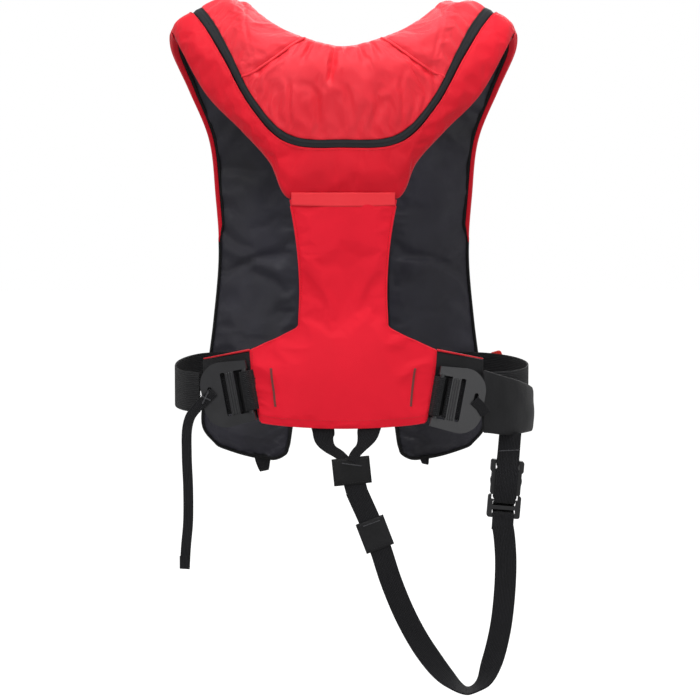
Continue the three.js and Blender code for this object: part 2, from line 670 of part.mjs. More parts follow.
// ---------------------------------------------------------------- clips
/** Strap end, plates and end bar of a side-release clip; the mouth is at y = 0. */
function socketBody(w, strap) {
  const half = CLIP_T / 2;
  const block = cut(
    plate(roundRect(THREE.Shape, -w / 2, w / 2, 27, SOCKET_L, 3), -half, half, 3),
    boxBetween(-strap / 2 - 1, strap / 2 + 1, 31, 37.5, -CLIP_T, CLIP_T),
    boxBetween(-strap / 2 - 1, strap / 2 + 1, 37, SOCKET_L + 1, 2.5, CLIP_T),
    boxBetween(-strap / 2 - 1, strap / 2 + 1, 37, SOCKET_L + 1, -CLIP_T, -2.5),
  );
  const wall = (z) =>
    plate(roundRect(THREE.Shape, -w / 2 + 2, w / 2 - 2, 0, 29, 2.5), z, z + 2, 3);
  return join(block, wall(-half), wall(half - 2));
}

/** Ladder lock and guide tongue of a side-release clip. */
function plugBody(w, strap) {
  const half = CLIP_T * 0.4;
  const slot = strap / 2 + 1;
  const pivot = w / 2 - 8;
  const base = cut(
    plate(roundRect(THREE.Shape, -w / 2, w / 2, -PLUG_L, -GAP, 3), -half, half, 3),
    boxBetween(-slot, slot, -13, -8, -CLIP_T, CLIP_T),
    boxBetween(-slot, slot, -23, -18, -CLIP_T, CLIP_T),
    boxBetween(pivot - 3.4, pivot + 4, -6.2, 1, -CLIP_T, CLIP_T),
    boxBetween(-pivot - 4, -pivot + 3.4, -6.2, 1, -CLIP_T, CLIP_T),
  );
  return join(base, boxBetween(-3.5, 3.5, -3, 24, -2.5, 2.5));
}

/** Right-hand arm of the plug, pivoted at the origin. */
function clipArm() {
  const shape = new THREE.Shape();
  shape.absarc(0, 0, 2.4, Math.PI, Math.PI * 2);
  shape.lineTo(2.6, 8);
  shape.quadraticCurveTo(7, 13, 7.2, 21);
  shape.quadraticCurveTo(6.5, 26, 3.5, 28);
  shape.quadraticCurveTo(0.4, 26, -0.6, 16);
  shape.lineTo(-2.4, 5);
  return plate(shape, -2.6, 2.6, 5);
}

/** Webbing folded round the socket's end bar with two tails up to y. */
function socketWeb(strap, tail) {
  const straight = lerp(45.5, tail, 0.4);
  return foldedStrip([
    [tail, 1.5], [straight, 1.7], [45.5, 2.6], [42, 4.1], [39, 4.2], [36.4, 2.8], [35.7, 0],
    [36.4, -2.8], [39, -4.2], [42, -4.1], [45.5, -2.6], [straight, -1.7], [tail, -1.5],
  ], STRAP_T, strap, 36).rotateZ(Math.PI / 2);
}

/** Webbing threaded through the plug's ladder, from y = foot to a tail along one face. */
function plugWeb(strap, foot, tail, face = -1) {
  const off = CLIP_T * 0.4 + GAP + STRAP_T / 2 + 0.3;
  const lowSlot = -20.5;
  const highSlot = -10.5;
  return foldedStrip([
    [foot, -off], [-PLUG_L + 4, -off], [lowSlot - 1.7, -off + 0.7], [lowSlot, 0],
    [lowSlot + 1.6, off - 0.7], [-15.5, off + 0.7], [highSlot - 1.6, off - 0.7], [highSlot, 0],
    [highSlot + 0.7, -off + 1.1], [highSlot + 3.5, -off - 0.7], [tail, -off - 1.4],
  ].map(([y, z]) => [y, -face * z]), STRAP_T, strap, 44).rotateZ(Math.PI / 2);
}

/** Places a clip's pieces with its mouth at a point; `along` points from plug to socket. */
function clipFrame(mouth, along, off) {
  const x = along.clone().cross(off).normalize();
  const group = new THREE.Group();
  group.applyMatrix4(new THREE.Matrix4().makeBasis(x, along, off).setPosition(mouth));
  return group;
}

/** Adds the plastic pieces of a clip. */
function addClip(frame, prefix, w, strap) {
  add(frame, `${prefix}_socket`, socketBody(w, strap), PLASTIC);
  add(frame, `${prefix}_plug`, plugBody(w, strap), PLASTIC);
  for (const [name, sign] of [['a', 1], ['b', -1]]) {
    const arm = add(frame, `${prefix}_arm_${name}`, clipArm(), PLASTIC);
    arm.position.set(sign * (w / 2 - 8), -3, 0);
    arm.scale.x = sign;
  }
}

const FRONT_CLIP_W = 62;
const frontClip = clipFrame(
  new THREE.Vector3(7, (106 * FRONT_DEPTH) / LAID_OUT.front, BELT_FRONT_Z),
  new THREE.Vector3(-1, 0, 0), new THREE.Vector3(0, 1, 0));
addClip(frontClip, 'front', FRONT_CLIP_W, BELT_W);
const frontTail = BELT_END_X - GAP * 2;
add(frontClip, 'front_web_left', socketWeb(BELT_W - 0.5, frontTail + 7), WEBBING);
add(frontClip, 'front_web_right', plugWeb(BELT_W - 0.5, 7 - frontTail, 6), WEBBING);
jacket.add(frontClip);

// ---------------------------------------------------------------- crotch strap
const CLIP_LEAN = 4.7;   // degrees
const hipMouth = new THREE.Vector3(194.5, -62, -541);
const hipClip = clipFrame(hipMouth,
  new THREE.Vector3(Math.sin(rad(CLIP_LEAN)), 0, Math.cos(rad(CLIP_LEAN))),
  new THREE.Vector3(0, -1, 0));
addClip(hipClip, 'clip', CLIP_W, STRAP_W);
const POUCH_TOP = -400;
const POUCH_BOTTOM = -465;
const pouchReach = POUCH_BOTTOM - hipMouth.z - 1;
add(hipClip, 'hip_strap', socketWeb(STRAP_W, pouchReach), WEBBING);
add(hipClip, 'crotch_strap_thread', plugWeb(STRAP_W, -PLUG_L - 5, pouchReach, 1), WEBBING);
jacket.add(hipClip);

add(right, 'strap_pouch', beltPatch(BELT_REACH_RIGHT, 0.02, 0.155,
  WEB_T / 2 + GAP, WEB_T / 2 + GAP + 11, POUCH_TOP, POUCH_BOTTOM), BLACK_FABRIC);

/** A leg of webbing from the lumbar panel's lower edge to the upper sleeve. */
function crotchLeg(topX, topY, lowX, lowY, topZ, lowZ) {
  const path = new THREE.LineCurve3(
    new THREE.Vector3(topX, topY, topZ), new THREE.Vector3(lowX, lowY, lowZ));
  return ribbon(path, STRAP_W, STRAP_T, 1, (t, tangent) =>
    tangent.clone().cross(new THREE.Vector3(0, 1, 0)));
}

const UPPER_SLEEVE = { x: 10, z: -507, w: 45, h: 32, turn: 6 };
const LOWER_SLEEVE = { x: 37.5, z: -583, w: 35, h: 37, turn: 21 };
const lumbarEdge = LUMBAR_BOTTOM_Z - LUMBAR_SAG;
add(jacket, 'crotch_leg_left', crotchLeg(-22, -106, 1, -105.5, lumbarEdge - 10, -480.2), WEBBING);
add(jacket, 'crotch_leg_right', crotchLeg(30, -109, 20, -108.5, lumbarEdge - 7.5, -481.5), WEBBING);

/** A sewn fabric sleeve, turned in its own plane. */
function sleeve({ x, z, w, h, turn }, y, opening) {
  const body = plate(roundRect(THREE.Shape, -w / 2, w / 2, -h / 2, h / 2, 3), -3, 3, 3);
  const hollow = opening
    ? cut(body, boxBetween(-opening / 2, opening / 2, -h, h, -1.8, 1.8)) : body;
  const mesh = new THREE.Mesh(hollow);
  mesh.rotation.set(Math.PI / 2, 0, 0);
  const group = new THREE.Group();
  group.rotation.y = rad(-turn);
  group.position.set(x, y, z);
  group.add(mesh);
  group.updateMatrixWorld(true);
  return hollow.applyMatrix4(mesh.matrixWorld);
}

add(jacket, 'crotch_sleeve_upper', sleeve(UPPER_SLEEVE, -106.5, 0), BLACK_FABRIC);
add(jacket, 'crotch_sleeve_lower', sleeve(LOWER_SLEEVE, -102.5, STRAP_W + 2), BLACK_FABRIC);

// Middle of the crotch strap, from the upper sleeve round to the plug of the hip clip.
const CROTCH_STRAP = [
  [15, -106, -529.5], [22.7, -104, -547], [30.4, -102.5, -564.5], [37.5, -102.5, -583],
  [44.6, -102.5, -601.5], [57, -100, -640], [76, -94, -686], [99, -88, -727], [125, -83, -760],
  [150, -79, -777], [168, -76, -768], [179, -73, -744], [189, -70.5, -704], [194, -69.5, -662],
  [195.5, -69, -620], [193.5, -68.4, -590], [191.6, -67.9, -577.5],
];

/** Crotch strap between two of its points; it turns on edge where it doubles back. */
function crotchStrap(from, to, count) {
  const whole = new THREE.CatmullRomCurve3(CROTCH_STRAP.map((p) => new THREE.Vector3(...p)));
  const last = CROTCH_STRAP.length - 1;
  const part = new THREE.CatmullRomCurve3(
    steps(from / last, to / last, count).map((t) => whole.getPoint(t)));
  const turnAt = 9.2 / last;
  return ribbon(part, STRAP_W, STRAP_T, count, (t, tangent) => {
    const here = lerp(from, to, t) / last;
    const turn = rad(84) * Math.exp(-(((here - turnAt) / 0.1) ** 2));
    const flat = tangent.clone().cross(new THREE.Vector3(0, 1, 0)).normalize();
    return flat.multiplyScalar(Math.cos(turn)).add(new THREE.Vector3(0, Math.sin(turn), 0));
  });
}

const STRAP_SPLIT = 7.5;
add(jacket, 'crotch_strap_back', crotchStrap(0, STRAP_SPLIT, 50), WEBBING);
add(jacket, 'crotch_strap_front', crotchStrap(STRAP_SPLIT + 0.02, 16, 120), WEBBING);

// ---------------------------------------------------------------- inside the lobes
/** Frame on a lobe's lining: x inwards from its outer edge, y up the lobe, z off the body. */
function lobeFrame(s, leaningLike) {
  const f = yokeFrame(s);
  const out = yokeFrame(leaningLike).out.clone();
  const up = new THREE.Vector3(0, 0, 1);
  up.addScaledVector(out, -up.dot(out)).normalize();
  const group = new THREE.Group();
  const place = f.at(f.width, LINING_T + GAP);
  group.applyMatrix4(new THREE.Matrix4().makeBasis(up.clone().cross(out), up, out)
    .setPosition(place));
  return group;
}

const FLOOR = 1.6;        // the lining is not quite flat under these pieces
const BODY_X = 72;        // inflator's middle, from the lobe's outer edge
const bodyTop = FLOOR + INFLATOR_H;

/** Inflator body with the cylinder's socket and the lug of the firing lever. */
function inflatorBody() {
  const drum = new THREE.CylinderGeometry(INFLATOR_R, INFLATOR_R + 1, INFLATOR_H, 28)
    .rotateX(Math.PI / 2).translate(BODY_X, 0, FLOOR + INFLATOR_H / 2);
  const socket = boxBetween(BODY_X - 9, BODY_X + 9, 10, 27, FLOOR + 1, bodyTop - 1);
  const lug = boxBetween(BODY_X - 30, BODY_X - 12, -4, 4, FLOOR + 1, 10);
  return join(drum, socket, lug);
}

/** Gas cylinder with its shoulder and neck, standing on y = 0. */
function gasCylinder() {
  const outline = [[0, 0], [5, 0], [5, 7], [9, 11], [CYLINDER_R - 1, 17], [CYLINDER_R, 24],
    [CYLINDER_R, CYLINDER_L - 14], [CYLINDER_R * 0.8, CYLINDER_L - 4], [0, CYLINDER_L]];
  return new THREE.LatheGeometry(outline.map(([r, y]) => new THREE.Vector2(r, y)), 28);
}

/** Lever that the lanyard pulls, pivoted at the origin. */
function firingLever() {
  const shape = roundRect(THREE.Shape, -3, 3, -3.5, 25, 2.6);
  return plate(shape, 0, 3, 3);
}

const inflator = lobeFrame(station(13.2), station(12.7));
add(inflator, 'inflator_body', inflatorBody(), PLASTIC);
const cap = add(inflator, 'inflator_cap', join(
  new THREE.CylinderGeometry(18, 19, 6, 28),
  new THREE.BoxGeometry(30, 4, 5).translate(0, 3.5, 0),
).rotateX(Math.PI / 2), SIGNAL_YELLOW);
cap.position.set(BODY_X, 0, bodyTop + GAP + 3);
const cylinder = add(inflator, 'gas_cylinder', gasCylinder(), STEEL);
cylinder.position.set(BODY_X, 27 + GAP, FLOOR + CYLINDER_R + 0.6);
const lever = add(inflator, 'firing_lever', firingLever(), SIGNAL_RED);
lever.position.set(BODY_X - 26, 0, 10.4);
right.add(inflator);

jacket.updateMatrixWorld(true);
const leverTip = new THREE.Vector3(-5, 22, 1.5).applyMatrix4(lever.matrixWorld);
const HANDLE = new THREE.Vector3(192, leverTip.y - 3, -395);
const pull = HANDLE.clone().sub(leverTip).normalize();

/** Red pull handle on a straight lanyard that reaches in through the side band. */
function pullHandle() {
  const length = HANDLE.distanceTo(leverTip);
  const cord = new THREE.CylinderGeometry(1.5, 1.5, length + 2, 10)
    .rotateZ(-Math.PI / 2).translate(-length / 2 + 1, 0, 0);
  const grip = plate(roundRect(THREE.Shape, 0, 15, -13, 13, 4), -4, 4, 4).rotateX(Math.PI / 2);
  return join(grip, cord);
}

const handle = add(right, 'pull_handle', pullHandle(), SIGNAL_RED);
handle.position.copy(HANDLE);
handle.quaternion.setFromUnitVectors(new THREE.Vector3(1, 0, 0), pull);

/** Side band of the right lobe, with the eyelet that the lanyard passes through. */
const eyelet = new THREE.CylinderGeometry(2.3, 2.3, 60, 16).rotateZ(Math.PI / 2)
  .applyQuaternion(handle.quaternion).translate(...HANDLE.clone().addScaledVector(pull, -32));
add(right, 'side_band_right', cut(band(BAND_END + SEAM_GAP, 1), eyelet), BLACK_FABRIC);
add(left, 'side_band_left', band(BAND_END + SEAM_GAP, 1), BLACK_FABRIC);

// The left lobe holds the oral tube and the whistle.
/** A round tube along points. */
function roundTube(points, radius, count, sides = 14) {
  const path = new THREE.CatmullRomCurve3(points.map((p) => new THREE.Vector3(...p)));
  const frames = path.computeFrenetFrames(count);
  return loft(steps(0, 1, count).map((t, i) => steps(0, Math.PI * 2, sides).slice(1)
    .map((a) => path.getPointAt(t)
      .addScaledVector(frames.normals[i], Math.cos(a) * radius)
      .addScaledVector(frames.binormals[i], Math.sin(a) * radius))));
}

const TUBE_X = 76;
const TUBE_H = 16;
const mouthY = ORAL_TUBE_L - 8;
const oral = lobeFrame(station(12.4), station(12.2));
const PEG = { x: TUBE_X - 32, y: -8 };
const peg = join(
  new THREE.CylinderGeometry(2, 2, 14, 12),
  new THREE.CylinderGeometry(4, 4, 1.6, 14).translate(0, 7, 0),
).rotateX(Math.PI / 2).translate(PEG.x, PEG.y, FLOOR + 7.5);
const flange = join(
  new THREE.CylinderGeometry(17, 18, 2.4, 24).rotateX(Math.PI / 2)
    .translate(TUBE_X, 0, FLOOR + 1.2),
  boxBetween(PEG.x - 4, TUBE_X, -12, -4, FLOOR, FLOOR + 2),
  peg,
);
const tube = join(flange, roundTube([
  [TUBE_X, 0, FLOOR + 1], [TUBE_X, 1, 6], [TUBE_X, 5, 12], [TUBE_X, 13, TUBE_H],
  [TUBE_X, 30, TUBE_H], [TUBE_X, mouthY, TUBE_H],
], ORAL_TUBE_R, 20));
const valveSeat = new THREE.CylinderGeometry(3 + GAP, 3 + GAP, 10, 14)
  .translate(TUBE_X, mouthY - 4, TUBE_H);
add(oral, 'oral_tube', cut(tube, valveSeat), PLASTIC);
const valve = add(oral, 'oral_valve', new THREE.CylinderGeometry(3, 3, 4, 14), SIGNAL_RED);
valve.position.set(TUBE_X, mouthY - 2.5, TUBE_H);
const capOutline = [[ORAL_TUBE_R + GAP, -12], [ORAL_TUBE_R + 2, -12], [ORAL_TUBE_R + 2, 7],
  [ORAL_TUBE_R, 9], [0, 9], [0, 7], [ORAL_TUBE_R + GAP, 7]];
const oralCap = add(oral, 'oral_cap', new THREE.LatheGeometry(
  [...capOutline, capOutline[0]].map(([r, y]) => new THREE.Vector2(r, y)), 20), SIGNAL_RED);
oralCap.position.set(TUBE_X, mouthY, TUBE_H);

/** Flat pea-less whistle with its lanyard eye at the origin. */
function whistleBody() {
  const shape = roundRect(THREE.Shape, -8, 8, -46, 5, 4);
  shape.holes.push(roundRect(THREE.Path, -2.5, 2.5, -2.5, 2.5, 2.4));
  return cut(plate(shape, -4, 4, 4), boxBetween(-5, 5, -24, -20, 1, 6));
}

const whistle = add(oral, 'whistle', whistleBody(), SIGNAL_YELLOW);
whistle.position.set(PEG.x, PEG.y, FLOOR + 7.2);
left.add(oral);

jacket.updateMatrixWorld(true);
export default jacket;
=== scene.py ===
"""Inflatable life jacket, seen from behind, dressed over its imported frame.

Every length is in metres. Soft surfaces are worked out again from the same stations as the solids
they stand for; hard pieces are merged, bevelled copies of their solids.
"""

import json
import logging
import math
from dataclasses import dataclass
from enum import Enum
from typing import Callable, Sequence

import bmesh
import bpy
from mathutils import Matrix, Vector, noise
from mathutils.bvhtree import BVHTree


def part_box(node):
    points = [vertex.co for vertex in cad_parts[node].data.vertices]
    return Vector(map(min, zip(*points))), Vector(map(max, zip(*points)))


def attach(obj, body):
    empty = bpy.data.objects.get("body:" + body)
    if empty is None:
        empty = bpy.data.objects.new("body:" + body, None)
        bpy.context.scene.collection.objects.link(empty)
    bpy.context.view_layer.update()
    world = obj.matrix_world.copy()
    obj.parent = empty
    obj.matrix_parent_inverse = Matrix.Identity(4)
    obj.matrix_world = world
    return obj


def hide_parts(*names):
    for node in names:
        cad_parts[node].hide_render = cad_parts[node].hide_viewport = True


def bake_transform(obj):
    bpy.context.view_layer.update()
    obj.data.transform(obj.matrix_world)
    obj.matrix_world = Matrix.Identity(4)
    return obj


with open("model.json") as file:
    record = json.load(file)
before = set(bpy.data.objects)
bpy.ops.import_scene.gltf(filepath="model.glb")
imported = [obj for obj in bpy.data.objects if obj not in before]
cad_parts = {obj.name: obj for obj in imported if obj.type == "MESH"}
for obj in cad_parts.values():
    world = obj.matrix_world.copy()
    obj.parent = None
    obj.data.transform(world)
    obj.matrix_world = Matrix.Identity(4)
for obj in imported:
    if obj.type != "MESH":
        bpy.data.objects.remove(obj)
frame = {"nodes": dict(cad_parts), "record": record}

LOG = logging.getLogger("life_jacket")
MM = 0.001
MERGE_REACH = 1e-6
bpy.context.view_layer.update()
Place = Callable[[float, float], Vector]
Points = Sequence[Vector]
Across = Callable[[int, Vector], Vector]
Lay = tuple[tuple[float, float, float], ...]


# ------------------------------------------------------------------ numbers
def lerp(a: float, b: float, t: float) -> float:
    """Value a share t of the way from a to b."""
    return a + (b - a) * t


def smoothstep(x: float, low: float, high: float) -> float:
    """0 below low, 1 above high, with a soft rise between them."""
    t = min(1.0, max(0.0, (x - low) / (high - low)))
    return t * t * (3 - 2 * t)


def steps(a: float, b: float, count: int) -> list[float]:
    """Values from a to b in equal steps, both ends included."""
    return [lerp(a, b, i / count) for i in range(count + 1)]


def bump_at(x: float, centre: float, reach: float) -> float:
    """Bell shape of height 1 at a centre."""
    return math.exp(-(((x - centre) / reach) ** 2))


def vec(x: float, y: float, z: float) -> Vector:
    """A point given in millimetres."""
    return Vector((x, y, z)) * MM


class SmoothCurve:
    """Open curve through points, with its parameter spread evenly over them."""

    def __init__(self, points: Points, power: float = 0.25) -> None:
        """Keeps the points; power 0.25 rounds evenly, 0.5 hugs close points."""
        self.points = [Vector(p) for p in points]
        self.power = power

    def at(self, t: float) -> Vector:
        """Point at share t of the points."""
        pts, last = self.points, len(self.points) - 1
        i = min(last - 1, max(0, int(math.floor(t * last))))
        w = t * last - i
        p1, p2 = pts[i], pts[i + 1]
        p0 = pts[i - 1] if i > 0 else 2 * pts[0] - pts[1]
        p3 = pts[i + 2] if i + 2 <= last else 2 * pts[last] - pts[last - 1]
        d0, d1, d2 = ((b - a).length_squared ** self.power for a, b in ((p0, p1), (p1, p2), (p2, p3)))
        t1 = ((p1 - p0) / d0 - (p2 - p0) / (d0 + d1) + (p2 - p1) / d1) * d1
        t2 = ((p2 - p1) / d1 - (p3 - p1) / (d1 + d2) + (p3 - p2) / d2) * d1
        return p1 + t1 * w + (3 * (p2 - p1) - 2 * t1 - t2) * w * w + (2 * (p1 - p2) + t1 + t2) * w**3

    def even(self, count: int, start: float = 0.0, stop: float = 1.0) -> list[Vector]:
        """Points that lie evenly along the curve's length.

        Args:
            count: number of equal steps.
            start: share of the points where they begin.
            stop: share of the points where they end.

        Returns:
            count + 1 points.
        """
        fine = [self.at(t) for t in steps(start, stop, max(200, count * 4))]
        run = [0.0]
        for a, b in zip(fine, fine[1:]):
            run.append(run[-1] + (b - a).length)
        made, k = [], 0
        for goal in steps(0, run[-1], count):
            while k < len(fine) - 2 and run[k + 1] < goal:
                k += 1
            part = (goal - run[k]) / max(run[k + 1] - run[k], 1e-9)
            made.append(fine[k].lerp(fine[k + 1], min(1.0, part)))
        return made


def tangents(points: Points) -> list[Vector]:
    """Unit direction of a row of points at each of them."""
    last = len(points) - 1
    return [(points[min(last, i + 1)] - points[max(0, i - 1)]).normalized() for i in range(last + 1)]


# ------------------------------------------------------------------ shader maths
class Value:
    """One shader socket that can be used in an expression."""

    def __init__(self, net: "Net", socket: bpy.types.NodeSocket) -> None:
        """Keeps the socket and the tree that it is in."""
        self.net, self.socket = net, socket

    def _math(self, operation: str, *others: "Value | float") -> "Value":
        """Result of one Math node on this value."""
        return self.net.node("ShaderNodeMath", {"operation": operation}, [self, *others])

    def __add__(self, other: "Value | float") -> "Value":
        """Sum."""
        return self._math("ADD", other)

    __radd__ = __add__

    def __mul__(self, other: "Value | float") -> "Value":
        """Product."""
        return self._math("MULTIPLY", other)

    __rmul__ = __mul__

    def __sub__(self, other: "Value | float") -> "Value":
        """Difference."""
        return self._math("SUBTRACT", other)

    def __rsub__(self, other: float) -> "Value":
        """Difference from a number."""
        return self.net.node("ShaderNodeMath", {"operation": "SUBTRACT"}, [other, self])

    def __truediv__(self, other: "Value | float") -> "Value":
        """Quotient."""
        return self._math("DIVIDE", other)

    def __gt__(self, other: float) -> "Value":
        """1 where the value is above a number."""
        return self._math("GREATER_THAN", other)

    def sin(self) -> "Value":
        """Sine."""
        return self._math("SINE")

    def abs(self) -> "Value":
        """Size without its sign."""
        return self._math("ABSOLUTE")

    def clamp(self) -> "Value":
        """The value kept between 0 and 1."""
        return self.net.node("ShaderNodeClamp", {}, [self])

    def wrap(self, pitch: float) -> "Value":
        """Saw shape from 0 to pitch."""
        return self._math("WRAP", pitch, 0.0)


class Net:
    """A material's node tree, with one method that adds any node."""

    def __init__(self, name: str) -> None:
        """Starts an empty material."""
        self.material = bpy.data.materials.new(name)
        self.material.use_nodes = True
        self.tree = self.material.node_tree
        self.tree.nodes.clear()

    def node(self, kind: str, settings: dict, inputs: Sequence | dict = (), output: int | str = 0) -> Value:
        """Adds a node.

        Args:
            kind: node type.
            settings: properties, set before the inputs; "stops" sets a colour ramp.
            inputs: values or links, by position or by socket name.
            output: which output the returned value reads.

        Returns:
            The chosen output.
        """
        made = self.tree.nodes.new(kind)
        for key, what in settings.items():
            if key == "stops":
                ramp = made.color_ramp
                while len(ramp.elements) < len(what):
                    ramp.elements.new(1.0)
                for stop, (at, colour) in zip(ramp.elements, what):
                    stop.position, stop.color = at, (*colour, 1)
            else:
                setattr(made, key, what)
        pairs = inputs.items() if isinstance(inputs, dict) else enumerate(inputs)
        for key, what in pairs:
            socket = made.inputs[key]
            if isinstance(what, Value):
                self.tree.links.new(what.socket, socket)
            elif what is not None:
                socket.default_value = (*what, 1) if socket.type == "RGBA" and len(what) == 3 else what
        return Value(self, made.outputs[output])

    def mix(self, share: "Value | float", a: "Value | tuple", b: "Value | tuple") -> Value:
        """Colour a share of the way from a to b."""
        return self.node("ShaderNodeMix", {"data_type": "RGBA", "clamp_factor": True},
                         {0: share, 6: a, 7: b}, 2)

    def place(self) -> Value:
        """The point in the object's own frame."""
        return self.node("ShaderNodeTexCoord", {}, (), "Object")

    def run(self, name: str = "Weave") -> tuple[Value, Value]:
        """The two numbers of a UV map: across and along the cloth, in metres."""
        flat = self.node("ShaderNodeUVMap", {"uv_map": name})
        parts = self.node("ShaderNodeSeparateXYZ", {}, [flat])
        return parts, Value(self, parts.socket.node.outputs[1])

    def noise(self, scale: float, detail: float = 3, rough: float = 0.5,
              stretch: tuple[float, float, float] = (1, 1, 1)) -> Value:
        """Cloudy pattern over the object's own frame."""
        at = self.node("ShaderNodeMapping", {}, {0: self.place(), "Scale": stretch})
        return self.node("ShaderNodeTexNoise", {}, {"Vector": at, "Scale": scale, "Detail": detail,
                                                    "Roughness": rough})

    def bump(self, height: Value, distance: float, strength: float, under: Value | None = None) -> Value:
        """Normal of a height pattern."""
        return self.node("ShaderNodeBump", {}, {"Height": height, "Distance": distance,
                                                "Strength": strength, "Normal": under})

    def surface(self, **sockets: "Value | float | tuple") -> bpy.types.Material:
        """Closes the material with a Principled shader; underscores stand for spaces."""
        named = {key.replace("_", " "): what for key, what in sockets.items()}
        shader = self.node("ShaderNodeBsdfPrincipled", {}, named)
        end = self.tree.nodes.new("ShaderNodeOutputMaterial")
        self.tree.links.new(shader.socket, end.inputs[0])
        return self.material


Colour = tuple[float, float, float]


def srgb(code: str) -> Colour:
    """Linear colour of a six-figure hex code."""
    parts = [int(code[i:i + 2], 16) / 255 for i in (0, 2, 4)]
    return tuple(p / 12.92 if p < 0.04045 else ((p + 0.055) / 1.055) ** 2.4 for p in parts)


# ------------------------------------------------------------------ finishes
@dataclass(frozen=True)
class CoatedNylon:
    """Woven nylon with a soft satin coat, a little uneven in colour and creased, with painted shade in the
    crease hollows and painted light on the crease ridges.
    """

    name: str
    light: str
    deep: str
    roughness: float = 0.46
    crease: float = 0.35
    crease_size: float = 16.0
    sheen: float = 0.15
    thread: float = 0.0006
    gloss: float = 0.3

    def material(self) -> bpy.types.Material:
        """Makes the material."""
        net = Net(self.name)
        across, along = net.run()
        pick = (across * (math.tau / self.thread)).sin() * (along * (math.tau / self.thread)).sin()
        cloud = net.noise(7, 4, 0.55)
        crumple = net.noise(self.crease_size, 5, 0.55, (1.0, 1.0, 0.55))
        fine = net.noise(150, 3, 0.6)
        # painted shade and light: the crumple term darkens the colour in the crease hollows and lightens it
        # on their ridges; the cloud and pick terms are the cloth's own uneven tone and weave
        share = (cloud * 1.5 - 0.35 + (crumple - 0.5) * 0.7 + pick * 0.05).clamp()
        colour = net.mix(share, srgb(self.deep), srgb(self.light))
        folds = net.bump(crumple, 0.004, self.crease)
        grain = net.bump(fine, 0.0006, 0.3, folds)
        weave = net.bump(pick, 0.00012, 0.5, grain)
        rough = (cloud * 0.14 + fine * 0.1 + (self.roughness - 0.12)).clamp()
        return net.surface(Base_Color=colour, Roughness=rough, Normal=weave,
                           Sheen_Weight=self.sheen, Sheen_Roughness=0.4, Specular_IOR_Level=self.gloss)


@dataclass(frozen=True)
class SpacerMesh:
    """Knitted spacer mesh with small open cells."""

    name: str
    light: str = "2A2A30"
    deep: str = "09090B"
    pitch: float = 0.0032

    def material(self) -> bpy.types.Material:
        """Makes the material."""
        net = Net(self.name)
        across, along = net.run()
        turn = math.tau / self.pitch
        cell = ((across + along * 0.5) * turn).sin() * ((along - across * 0.5) * turn).sin()
        wall = (cell.abs() * 1.6).clamp()
        colour = net.mix((wall * 0.85 + net.noise(300, 2) * 0.3 - 0.05).clamp(),
                         srgb(self.deep), srgb(self.light))
        return net.surface(Base_Color=colour, Roughness=0.85 - wall * 0.15,
                           Normal=net.bump(wall, 0.0006, 0.8), Sheen_Weight=0.2)


@dataclass(frozen=True)
class Webbing:
    """Ribbed polyester webbing with a herringbone weave, painted paler on its raised ridges and darker in its
    grooves as light and shade.
    """

    name: str
    light: str = "34343A"
    deep: str = "121316"
    rib: float = 0.0022

    def material(self) -> bpy.types.Material:
        """Makes the material."""
        net = Net(self.name)
        across, along = net.run()
        lean = (across.wrap(self.rib * 4) - self.rib * 2).abs() * 0.9
        chevron = ((along + lean) * (math.tau / self.rib)).sin()
        cord = (across * (math.tau / self.rib)).sin()
        height = chevron * 0.35 + cord * 0.4 + 0.5
        fuzz = net.noise(420, 2, 0.6)
        # painted light and shade: the height term makes the weave's ridges paler and its grooves darker; the
        # two noise terms are the webbing's own uneven tone
        share = (height * 0.95 + fuzz * 0.4 + net.noise(11, 3) * 0.4 - 0.5).clamp()
        colour = net.mix(share, srgb(self.deep), srgb(self.light))
        return net.surface(Base_Color=colour, Roughness=(0.55 + fuzz * 0.3).clamp(),
                           Normal=net.bump(fuzz, 0.0002, 0.3, net.bump(height, 0.0007, 1.0)),
                           Sheen_Weight=0.05, Specular_IOR_Level=0.2)


@dataclass(frozen=True)
class ZipTape:
    """Water-resistant zip seen on its smooth side: two coated tapes over a coil."""

    name: str = "zip_tape"
    light: str = "25282C"
    deep: str = "090A0C"

    def material(self) -> bpy.types.Material:
        """Makes the material."""
        net = Net(self.name)
        across, along = net.run()
        coil = (along * (math.tau / 0.0016)).sin() * (1.0 - (across.abs() / 0.0016)).clamp()
        ridge = (1.0 - ((across.abs() - 0.0005) / 0.0004).abs()).clamp()
        edge = ((across.abs() - 0.0034) / 0.0012).clamp()
        # painted light and shade: the tape is kept light along its middle for the soft highlight there and
        # darkened towards its edges, where it runs under the cover and band; the ridge lines beside the coil
        # are the zip's own dark joint
        share = (0.9 - edge * 0.75 - ridge * 0.6 + coil * 0.12 + net.noise(60, 3) * 0.2 - 0.1).clamp()
        colour = net.mix(share, srgb(self.deep), srgb(self.light))
        return net.surface(Base_Color=colour, Roughness=(0.5 + net.noise(90, 3) * 0.2).clamp(),
                           Normal=net.bump(coil * 0.6 - ridge, 0.0005, 0.7), Specular_IOR_Level=0.25)


@dataclass(frozen=True)
class MouldedPlastic:
    """Moulded plastic with a fine spark texture and slight scuffs."""

    name: str
    light: str = "3A3A3C"
    deep: str = "1E1E20"
    roughness: float = 0.42

    def material(self) -> bpy.types.Material:
        """Makes the material."""
        net = Net(self.name)
        grain = net.noise(900, 2, 0.7)
        cloud = net.noise(45, 4, 0.6)
        scuff = (net.noise(160, 5, 0.75, (1, 1, 0.2)) > 0.66) * 0.4
        colour = net.mix((cloud * 0.8 + grain * 0.25 + scuff - 0.1).clamp(),
                         srgb(self.deep), srgb(self.light))
        return net.surface(Base_Color=colour,
                           Roughness=(cloud * 0.16 + scuff * 0.3 + (self.roughness - 0.06)).clamp(),
                           Normal=net.bump(grain, 0.00012, 0.4))


